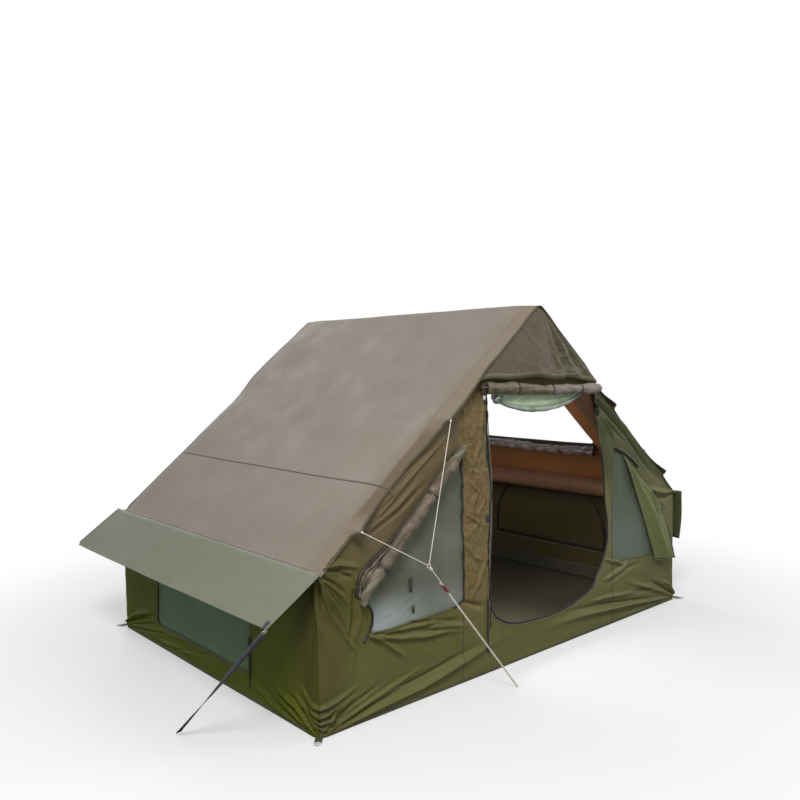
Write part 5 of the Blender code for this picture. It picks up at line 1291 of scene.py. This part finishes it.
def add_hoods():
    for name, node_name, front, outward in (("front_hood_cloth", "front_hood", True, (0, -1, 0)),
                                            ("rear_hood_cloth", "rear_hood", False, (0, 1, 0))):
        across, down = np.meshgrid(np.linspace(-1, 1, 150), np.linspace(0.0, 1, 64))
        shape = Shape()
        shape.grid(hood_sheet(across, down, front), 0, np.stack((across * 0.5, down * 0.4), -1))
        shape.make(name, ["hood", "side"], replaces=(node_name,), thick=CLOTH, outward=outward)
        hem = Shape()
        across = np.linspace(-0.985, 0.985, 200)
        section = ((-0.035, -0.0004), (-0.035, 0.0010), (0.0, 0.0013), (0.045, 0.0010), (0.045, -0.0004))
        rows = [hood_sheet(across, 0.955 + offset, front, out) for offset, out in section]
        hem.grid(np.stack(rows, 1), 0, crossed(across * 0.5, np.linspace(0, 0.03, 5)), True)
        hem.make(name.replace("cloth", "hem"), "hood_hem")


def add_swag():
    """The net gathered along the doorway's top, its rolled hem and its curled end."""
    across, down = np.meshgrid(np.linspace(0, 1, 90), np.linspace(0, 1, 22))
    x = -0.372 + 0.772 * across
    bow = np.sin(across * math.pi) ** 0.75
    low = 1.452 - 0.078 * bow
    top = 1.515 - 0.02 * across
    z = top + (low - top) * down
    belly = 0.006 + 0.018 * bow * np.sin(down * math.pi * 0.7)
    folds = 0.0045 * np.sin(down * 17 + across * 3) * bow * smooth(0.1, 0.5, down)
    folds = folds + 0.0030 * waves(across * 16, down * 2.5, 91)
    y = -1.056 - belly - folds
    shape = Shape()
    shape.grid(np.stack((x, y, z), -1), 0, np.stack((x, z), -1))
    shape.make("door_net_cloth", ["swag", "swag"], replaces=("door_net_swag",), thick=0.0008, outward=(0, -1, 0))
    path = resampled(np.stack((x[-1], y[-1] - 0.003, z[-1] + 0.004), 1), 0.006)
    share = np.linspace(0, 1, len(path))
    hem = Shape()
    hem.tube(path, 0.006 + 0.009 * np.sin(share * math.pi) ** 0.8, 14, 0, 0.8,
             lambda way, turn: 1 + 0.22 * waves(way * 22, np.cos(turn) + 3, 92) + 0.10 * np.sin(3 * turn + way * 55))
    hem.make("door_net_hem", "swag_hem")
    turns = np.linspace(0, math.tau * 3.1, 90)
    depth = np.linspace(0, 1, 5)[:, None]
    reach = 0.007 + 0.023 * turns / turns[-1] + 0.0022 * np.sin(turns * 2 + depth * 3)
    points = np.stack((-0.333 + reach * np.cos(turns) * 1.15, -1.066 - 0.032 * depth - 0.004 * np.sin(turns * 3),
                       1.449 + reach * np.sin(turns) * 0.9), -1)
    curl = Shape()
    curl.grid(points, 0, np.stack(np.broadcast_arrays(turns * 0.02, depth * 0.03), -1))
    curl.make("door_net_curl", ["swag_hem", "swag_hem"], thick=0.0012)


def loose_cover(u, v, out=0.0):
    """The right window's cover: u from its inner to its outer edge, v up from its hem."""
    u, v = pair(u, v)
    hem_inner, hem_outer = np.array((1.205, 0.322)), np.array((1.392, 0.318))
    inner, outer = np.array((0.852, 1.048)), np.array((1.326, 0.660))
    hem = hem_inner + (hem_outer - hem_inner) * u[..., None]
    head = inner + (outer - inner) * u[..., None]
    place = hem + (head - hem) * v[..., None]
    hang = np.clip(1 - v, 0, 1)
    crest = 0.088 * np.exp(-np.abs((u - 0.33) / np.where(u < 0.33, 0.14, 0.30)) ** 1.5)
    second = 0.040 * smooth(0.5, 1.0, u) * smooth(0, 0.5, hang)
    pleat = 0.016 * np.exp(-((u - 0.55 - 0.1 * v) / 0.05) ** 2) * smooth(0.2, 0.8, v) * smooth(0, 0.1, hang)
    stand = (0.010 + crest + second) * hang ** 0.55 + pleat
    gather = 0.010 * np.sin(u * 30 + 2 * waves(u * 5, v, 95)) * smooth(0.5, 0.92, v) * smooth(0, 0.06, hang)
    soft = 0.005 * waves(u * 4.5, v * 2.4, 96) + 0.0030 * crumple(u * 0.4, v * 0.7, 0.09, 97)
    y = -1.0545 - np.maximum(stand + gather + soft * smooth(0, 0.1, hang), 0.0006 + 0.001 * hang) - out
    x = place[..., 0] + 0.016 * np.sin(v * math.pi) * (1 - u) - 0.012 * np.sin(v * 2.6) * u
    return np.stack((x, y, place[..., 1] + 0.008 * waves(u * 3, v, 98) * hang), -1)


def add_loose_cover():
    across, up = np.meshgrid(np.linspace(0, 1, 80), np.linspace(0, 1, 90))
    shape = Shape()
    shape.grid(loose_cover(across, up), 0, np.stack((across * 0.4, up * 0.7), -1))
    shape.make("loose_cover_cloth", ["cover", "side"], "loose_cover", ("window_cover",), CLOTH, (0, -1, 0))
    trim = Shape()
    for line, width, finish in (([(0.965, 0.95), (0.965, 0.03)], 0.05, 0), ([(0.02, 0.025), (0.985, 0.02)], 0.016, 1),
                                ([(0.012, 0.05), (0.012, 0.9)], 0.022, 1)):
        line = resampled(line, 0.02)
        ahead = unit(line[1] - line[0])
        cross = np.array((-ahead[1], ahead[0]))
        rows = [loose_cover(*(line + cross * offset * width / 2).T, out)
                for offset, out in ((-1, -0.0004), (-1, 0.0014), (0, 0.002), (1, 0.0014), (1, -0.0004))]
        trim.grid(np.stack(rows, 1), finish, None, True)
    trim.make("loose_cover_trim", ["zip", "olive_seam"], "loose_cover")


# Zips, pipings, seams and small fittings on the walls

def coil(shape, surface, line, finish, radius=0.0021):
    """A zip's coil: a fine ribbed cord along a line on a surface."""
    path = surface(*resampled(line, 0.0016).T, 0.0022)
    ribs = np.where(np.arange(len(path)) % 2 == 0, radius, radius * 0.7)
    shape.tube(path, ribs, 6, finish)


def offset_line(line, by):
    ahead = headings(line)
    return line + np.stack((-ahead[:, 1], ahead[:, 0]), 1) * by


def smooth_line(*points):
    return curve_through(points, 0.01)


def bunch(shape, line, out, radius, sides, finish, depth, pace, seed):
    """Gathered cloth: a lumpy tube along a line on the walls."""
    shape.tube(wall(*line.T, out), radius, sides, finish, 1.0,
               lambda way, turn: 1 + depth * waves(way * pace, np.cos(turn) * 2, seed))


def add_door_zip():
    zips = Shape()
    for line in (offset_line(DOOR_LINE, -0.0055), OUTER_ZIP):
        zips.strip(wall, line, 0.012, 0.0014)
        coil(zips, wall, line, 1)
    zips.make("door_zip_tape", ["zip", "coil"], replaces=("door_zip",))


def add_front_trims():
    """The doorway's pipings, the windows' edges, and the cloth gathered beside them, whose near-black colour is partly
    painted shade.
    """
    trims = Shape()
    trims.strip(wall, offset_line(DOOR_LINE, -0.0155), 0.006, 0.0032)
    trims.strip(wall, offset_line(OUTER_ZIP, 0.011), 0.004, 0.0024)
    trims.strip(wall, smooth_line((0.918, 1.17), (0.918, 0.485), (0.908, 0.437), (0.872, 0.412), (0.84, 0.406)),
                0.011, 0.0016, 1)
    trims.strip(wall, smooth_line((0.80, 0.400), (0.55, 0.394), (0.30, 0.392)), 0.010, 0.0014, 2)
    corner = smooth_line((0.236, 0.596), (0.292, 0.537), (0.316, 0.488), (0.307, 0.430), (0.266, 0.368))
    trims.strip(wall, corner, 0.014, 0.0022, 1)
    coil(trims, wall, corner, 3, 0.0024)
    slope = smooth_line((0.218, 0.600), (0.232, 0.671), (0.268, 0.714), (0.330, 0.756), (0.400, 0.802), (0.475, 0.854),
                        (0.552, 0.918), (0.650, 1.002), (0.710, 1.060), (0.860, 1.155), (0.905, 1.205))
    # The gathers along the left window's slope are near black: partly the zip beneath, partly painted shade between
    # the roll and the wall.
    bunch(trims, slope, 0.006, 0.0085, 12, 4, 0.45, 38, 94)
    for shift, radius, low, high, seed in ((0.013, 0.010, 0, 0.42, 91), (0.027, 0.011, 0.06, 0.34, 92)):
        part = slope[int(low * len(slope)):int(high * len(slope))]
        bunch(trims, part + (shift, -shift * 0.8), 0.007, radius, 12, 5, 0.5, 30, seed)
    right_edge = smooth_line((2.246, 1.06), (2.237, 0.75), (2.240, 0.50), (2.258, 0.394), (2.40, 0.380),
                             (2.68, 0.360), (2.80, 0.372), (2.828, 0.43), (2.836, 0.55), (2.80, 0.645))
    trims.strip(wall, right_edge, 0.009, 0.0014, 2)
    trims.strip(wall, smooth_line((2.295, 1.112), (2.36, 1.070), (2.60, 0.868), (2.838, 0.668)), 0.012, 0.0008, 2)
    # The bunched top of the right window's cover is zip black: its own zip bits and painted shade in the bunch.
    gathered = curve_through([(2.262, 1.098), (2.34, 1.070), (2.446, 1.012), (2.52, 0.955)], 0.006)
    bunch(trims, gathered, 0.006, 0.006, 10, 3, 0.35, 60, 99)
    trims.strip(wall, offset_line(gathered, 0.011), 0.005, 0.005)
    trims.make("front_trims", ["piping", "zip", "olive_seam", "coil", "gather", "roll"])


def add_side_trims():
    """The edges of both side windows, and the seams on the right wall's inner face."""
    trims = Shape()
    trims.strip(wall, closed(rounded_outline(SIDE_WINDOW, 0.014)), 0.012, 0.0014, 1)
    trims.strip(wall, [(-0.585, 0.27), (-0.585, 0.055)], 0.006, 0.0034)
    arch = closed(arch_outline(0.0))
    trims.strip(wall, arch, 0.012, 0.0014)
    coil(trims, wall, arch, 2)
    trims.make("side_window_trims", ["zip", "olive_seam", "coil"])
    inner = Shape()
    within = lambda s, z, out=0.0: wall(s, z, -CLOTH - 0.001 - out)
    inner.strip(within, arch, 0.022, 0.0020)
    for height in (0.21, 0.70):
        inner.strip(within, [(RIGHT_START + 0.06, height), (REAR_START - 0.06, height)], 0.012, 0.002, 1)
    inner.make("right_wall_inner_trims", ["zip", "seam"])


def add_rear_trims():
    trims = Shape()
    door = closed(rear_door_outline(0.0))
    trims.strip(wall, door, 0.013, 0.0014)
    coil(trims, wall, door, 1)
    for side in (-1, 1):
        at = REAR_MIDDLE + side * 0.60
        trims.strip(wall, [(at, 0.01), (at, 1.44)], 0.012, 0.001, 2)
    trims.make("rear_door_trims", ["zip", "coil", "olive_seam"])


def add_wall_seams():
    seams = Shape()
    for s, low, high in ((0.912, 0.01, 0.395), (2.242, 0.01, 0.385), (2.242, 1.12, 1.33)):
        seams.strip(wall, [(s, low), (s, high)], 0.010, 0.0010)
    for low, high in ((0.2, 2.8), (-2.0, -0.1), (RIGHT_START + 0.1, REAR_START - 0.1),
                      (REAR_START + 0.1, ROUND_END - 0.1)):
        seams.strip(wall, [(low, 0.012), (high, 0.012)], 0.016, 0.0012)
    seams.make("wall_seams", "olive_seam")


def add_front_fittings():
    """The small tabs, the toggle and the zip's hanging pull on the front wall."""
    upright = ((1, 0, 0), (0, 1, 0), (0, 0, 1))
    small = Shape()
    small.block(wall([1.106], [0.82], 0.003)[0], ((1, 0, 0), (0, 0, 1), (0, 1, 0)), (0.022, 0.042, 0.004), 0, 0.9)
    small.block((-0.444, -1.078, 1.462), upright, (0.012, 0.012, 0.024), 1)
    small.tube(curve_through([(-0.444, -1.076, 1.50), (-0.446, -1.082, 1.485), (-0.444, -1.079, 1.474)], 0.003),
               0.0014, 6, 2)
    for s, low, high in ((0.558, 0.547, 0.62), (0.575, 0.441, 0.475)):
        small.strip(wall, [(s, high), (s + 0.002, low)], 0.017, -0.0026, 4, sink=0.0034)
    pull = wall([1.094, 1.090, 1.092, 1.088], [0.40, 0.32, 0.24, 0.155], [0.004, 0.007, 0.006, 0.004])
    small.tube(curve_through(pull, 0.004), 0.0034, 8, 2)
    small.block(pull[-1] + (0, -0.002, -0.012), upright, (0.016, 0.009, 0.040), 2)
    small.make("front_small_fittings", ["webbing", "white", "coil", "loop", "tie"])


def add_peg_tabs():
    """At each foot corner a webbing tab with a white ring."""
    ring, wire = 0.0125, 0.0028
    for x_sign, y_sign, name in ((-1, -1, "front_left"), (1, -1, "front_right"), (-1, 1, "rear_left"),
                                 (1, 1, "rear_right")):
        tab = Shape()
        out = np.array((x_sign, y_sign, 0)) / math.sqrt(2)
        across = np.array((-out[1], out[0], 0))
        root = np.array((x_sign * HALF_X, y_sign * HALF_Y, 0.0))
        tape(tab, [root - out * 0.034 + (0, 0, 0.012), root + out * 0.012 + (0, 0, 0.007),
                   root + out * 0.026 + (0, 0, 0.004)], across, 0.034, WEB)
        centre = root + out * 0.037 + (0, 0, 0.0048)
        rows = []
        for turn in np.linspace(0, math.tau, 33)[:-1]:
            at = centre + out * math.cos(turn) * ring + across * math.sin(turn) * ring
            away = unit(at - centre)
            rows.append([at + away * wire * math.cos(q) + np.array((0, 0, wire * math.sin(q)))
                         for q in np.linspace(0, math.tau, 9)[:-1]])
        tab.grid(np.array(rows + rows[:1]), 1, None, True, caps=False)
        tab.make(f"peg_tab_{name}", ["loop", "white"], replaces=(f"peg_loop_{name}",))


def add_strap():
    """The strap that stakes the left flap, with its buckle, and the flap's corner tab."""
    start, end = np.array((-1.77458, -1.06827, 0.5552)), np.array((-1.93, -0.575, 0.012))
    run = unit(end - start)
    flat = unit(np.cross(run, (0, 1, 0)))
    across = np.cross(flat, run)

    def turned(share):
        twist = 1.25 * smooth(0.2, 1.0, share)
        return across * math.cos(twist) + flat * math.sin(twist)

    strap = Shape()
    first = start + run * 0.010
    tape(strap, [first, first * 0.5 + end * 0.5 + flat * 0.002, end], turned, 0.026, WEB)
    tape(strap, [first + flat * 0.0026, first + run * 0.05 + flat * 0.003, first + run * 0.10 + flat * 0.0026],
         across, 0.026, 0.0020)
    strap.block(first + run * 0.055 + flat * 0.004, (across, run, flat), (0.034, 0.022, 0.006), 1)
    strap.block(end - run * 0.012, (turned(1.0), np.cross(run, turned(1.0)), run), (0.028, 0.006, 0.02))
    strap.make("flap_strap_webbing", ["strap", "coil"], "strap", ("flap_strap",))
    corner = Shape()
    corner.strip(left_flap, [(-1.058, 0.322), (-1.044, 0.285)], 0.024, 0.0018)
    corner.make("flap_corner_tab", "strap", "left_flap")


# Air frame and groundsheet

def bent_path(corners, bend):
    """Straight runs between corners that are rounded to the radius bend."""
    steps = 10
    corners = [np.array(corner, float) for corner in corners]
    points = [corners[0]]
    for before, corner, after in zip(corners, corners[1:], corners[2:]):
        a, b = unit(before - corner), unit(after - corner)
        half = math.acos(np.clip(a @ b, -1, 1)) / 2
        centre = corner + unit(a + b) * bend / math.sin(half)
        start, end = corner + a * bend / math.tan(half) - centre, corner + b * bend / math.tan(half) - centre
        points += [centre + unit(start * (1 - step / steps) + end * step / steps) * bend for step in range(steps + 1)]
    return np.array(points + [corners[-1]])


def add_beams():
    leg_x, arch_y = 1.4204, 0.9704
    foot_z, eave_z, apex_z = 0.006, 0.7120, 1.8674
    bend, clear = 0.12, 0.0655
    leg = leg_x - 0.006
    for name, y, node_name in (("front_arch_sleeve", -arch_y, "front_air_arch"),
                               ("rear_arch_sleeve", arch_y, "rear_air_arch")):
        beam(name, bent_path([(-leg, y, foot_z), (-leg, y, eave_z), (0, y, apex_z), (leg, y, eave_z),
                              (leg, y, foot_z)], bend), node_name)
    rise = bend / math.cos(PITCH) - bend
    for name, x, z, node_name in (("ridge_sleeve", 0, apex_z - rise, "ridge_air_beam"),
                                  ("left_eave_sleeve", -leg_x + 0.004, eave_z, "left_eave_air_beam"),
                                  ("right_eave_sleeve", leg_x - 0.004, eave_z, "right_eave_air_beam")):
        beam(name, [(x, -arch_y + clear, z), (x, arch_y - clear, z)], node_name)


def beam(name, path, node_name):
    """An air beam's sleeve, lightly seamed and wavy, with round ends."""
    step, radius = 0.014, 0.0635
    path = resampled(path, step)
    share = np.linspace(0, 1, len(path))
    length = len(path) * step
    ends = np.sqrt(np.clip(1 - (1 - np.clip(np.minimum(share, 1 - share) * length / 0.04, 0, 1)) ** 2, 0.05, 1))
    shape = Shape()
    shape.tube(path, radius * ends, 24, 0, 1.0,
               lambda way, turn: 1 - 0.014 * np.abs(np.sin(turn * 1.5 + 0.4)) ** 12
               + 0.010 * waves(way * 14, np.cos(turn) * 2 + 4, 101) + 0.006 * waves(way * 45, np.sin(turn) * 2, 102))
    made = shape.make(name, "beam", replaces=(node_name,))


def add_tub():
    """The groundsheet's floor, and its upstand round the foot of the walls."""
    inset, rim = 0.022, 0.1
    x, y = np.meshgrid(np.linspace(-HALF_X + inset, HALF_X - inset, 121),
                       np.linspace(-HALF_Y + inset, HALF_Y - inset, 85))
    lift = 0.0055 + 0.0028 * waves(x * 3, y * 3, 111) + 0.0022 * crumple(x, y, 0.22, 112)
    sheet = Shape()
    sheet.grid(np.stack((x, y, np.maximum(lift, 0.001)), -1), 0, np.stack((x, y), -1))
    sheet.make("floor_cloth", ["tub", "tub"], replaces=("floor_tub",), thick=0.0008, outward=(0, 0, 1))
    s, z = np.meshgrid(np.linspace(-2 * HALF_Y, ROUND_END, 720), np.linspace(0.004, rim, 9))
    lean = 0.006 + 0.012 * (rim - z) / rim
    upstand = Shape()
    upstand.grid(wall_plane(s, z, -lean - 0.010 - 0.0022 * waves(s * 9, z * 12, 113)), 0, np.stack((s, z), -1))
    upstand.make("floor_upstand", ["tub", "tub"], thick=0.0012)


def wall_plane(s, z, out):
    """The walls' plane without its folds."""
    return wall(s, z, out - wall_relief(s, z))


# World, floor and lamps

# Each lamp's place, what it points at, its size and its power
LAMPS = {
    "key": ((-4.6, -4.4, 6.2), (0, 0, 0.8), 2.2, 395.0),
    "side": ((6.0, -5.0, 4.5), (0, 0, 0.8), 2.4, 120.0),
    "back": ((1.5, 7.5, 5.5), (0, 0, 0.8), 3.0, 150.0),
    "within": ((-0.45, 0.1, 1.35), (1.0, 0, 0.35), 0.9, 8.5),
    "doorway": ((-0.25, -0.62, 1.00), (-0.20, -0.66, 0.0), 0.35, 3.2),
}


def calculated(tree, kind, first, second):
    made = node(tree, "Math", {"operation": kind})
    tree.links.new(first, made.inputs[0])
    tree.links.new(second, made.inputs[1])
    return made.outputs[0]


def shaded(tree, share, first, second):
    """Two shaders mixed, by the share of the second."""
    made = node(tree, "MixShader", Fac=share)
    tree.links.new(first.outputs[0], made.inputs[1])
    tree.links.new(second.outputs[0], made.inputs[2])
    return made.outputs[0]


def rays(tree):
    return tree.nodes.new("ShaderNodeLightPath").outputs


def add_world():
    """White where it is seen straight or in a gloss, and soft daylight elsewhere."""
    bpy.context.scene.view_settings.view_transform = "Standard"
    world = bpy.data.worlds.new("studio")
    bpy.context.scene.world = world
    world.use_nodes = True
    tree = world.node_tree
    tree.nodes.clear()
    ray = rays(tree)
    seen = calculated(tree, "MAXIMUM", ray["Is Camera Ray"], ray["Is Glossy Ray"])
    seen = calculated(tree, "MAXIMUM", seen, ray["Is Transmission Ray"])
    soft = node(tree, "Background", Color=(0.95, 0.98, 1.0, 1), Strength=0.34)
    white = node(tree, "Background", Color=(1, 1, 1, 1), Strength=1.0)
    out = tree.nodes.new("ShaderNodeOutputWorld")
    tree.links.new(shaded(tree, seen, soft, white), out.inputs["Surface"])


def add_floor():
    """A pale floor that fades into white round the tent."""
    reach = 14.0
    mesh = bpy.data.meshes.new("floor")
    corners = ((-1, -1), (1, -1), (1, 1), (-1, 1))
    mesh.from_pydata([(x * reach, y * reach, -0.001) for x, y in corners], [], [(0, 1, 2, 3)])
    floor = placed("floor", mesh)
    material, tree, shader = new_material("floor")
    seen = rays(tree)["Is Camera Ray"]
    pale = mixed(tree, seen, (0.34, 0.34, 0.33, 1), (0.92, 0.92, 0.92, 1))
    feed(tree, shader, Base_Color=pale, Roughness=0.9)
    away = node(tree, "VectorMath", {"operation": "LENGTH"}, Vector=place_of(tree))
    far = ranged(tree, away.outputs["Value"], "SMOOTHSTEP", From_Min=1.9, From_Max=3.6, To_Min=0.35)
    glow = node(tree, "Emission", Color=(1, 1, 1, 1), Strength=1.0)
    faded = shaded(tree, calculated(tree, "MULTIPLY", seen, far), shader, glow)
    tree.links.new(faded, tree.nodes["Material Output"].inputs["Surface"])
    mesh.materials.append(material)


def add_lamps():
    for name, (place, aim, size, power) in LAMPS.items():
        data = bpy.data.lights.new(name, "AREA")
        data.size, data.energy = size, power
        lamp = placed(name, data)
        lamp.location = place
        lamp.rotation_euler = (Vector(aim) - Vector(place)).to_track_quat("-Z", "Y").to_euler()
        lamp.visible_camera = False


def declare_sheets():
    """Left empty: no cloth's width, length, hold, cut area, holders or trims are given here."""


for step in (add_camera, add_walls, add_roof, add_flaps, add_guy, paint_kept_nodes, add_rolls, add_hoods, add_swag,
             add_loose_cover, add_door_zip, add_front_trims, add_side_trims, add_rear_trims, add_wall_seams,
             add_front_fittings, add_peg_tabs, add_strap, add_beams, add_tub, add_world, add_floor, add_lamps,
             declare_sheets):
    step()
bpy.context.view_layer.update()
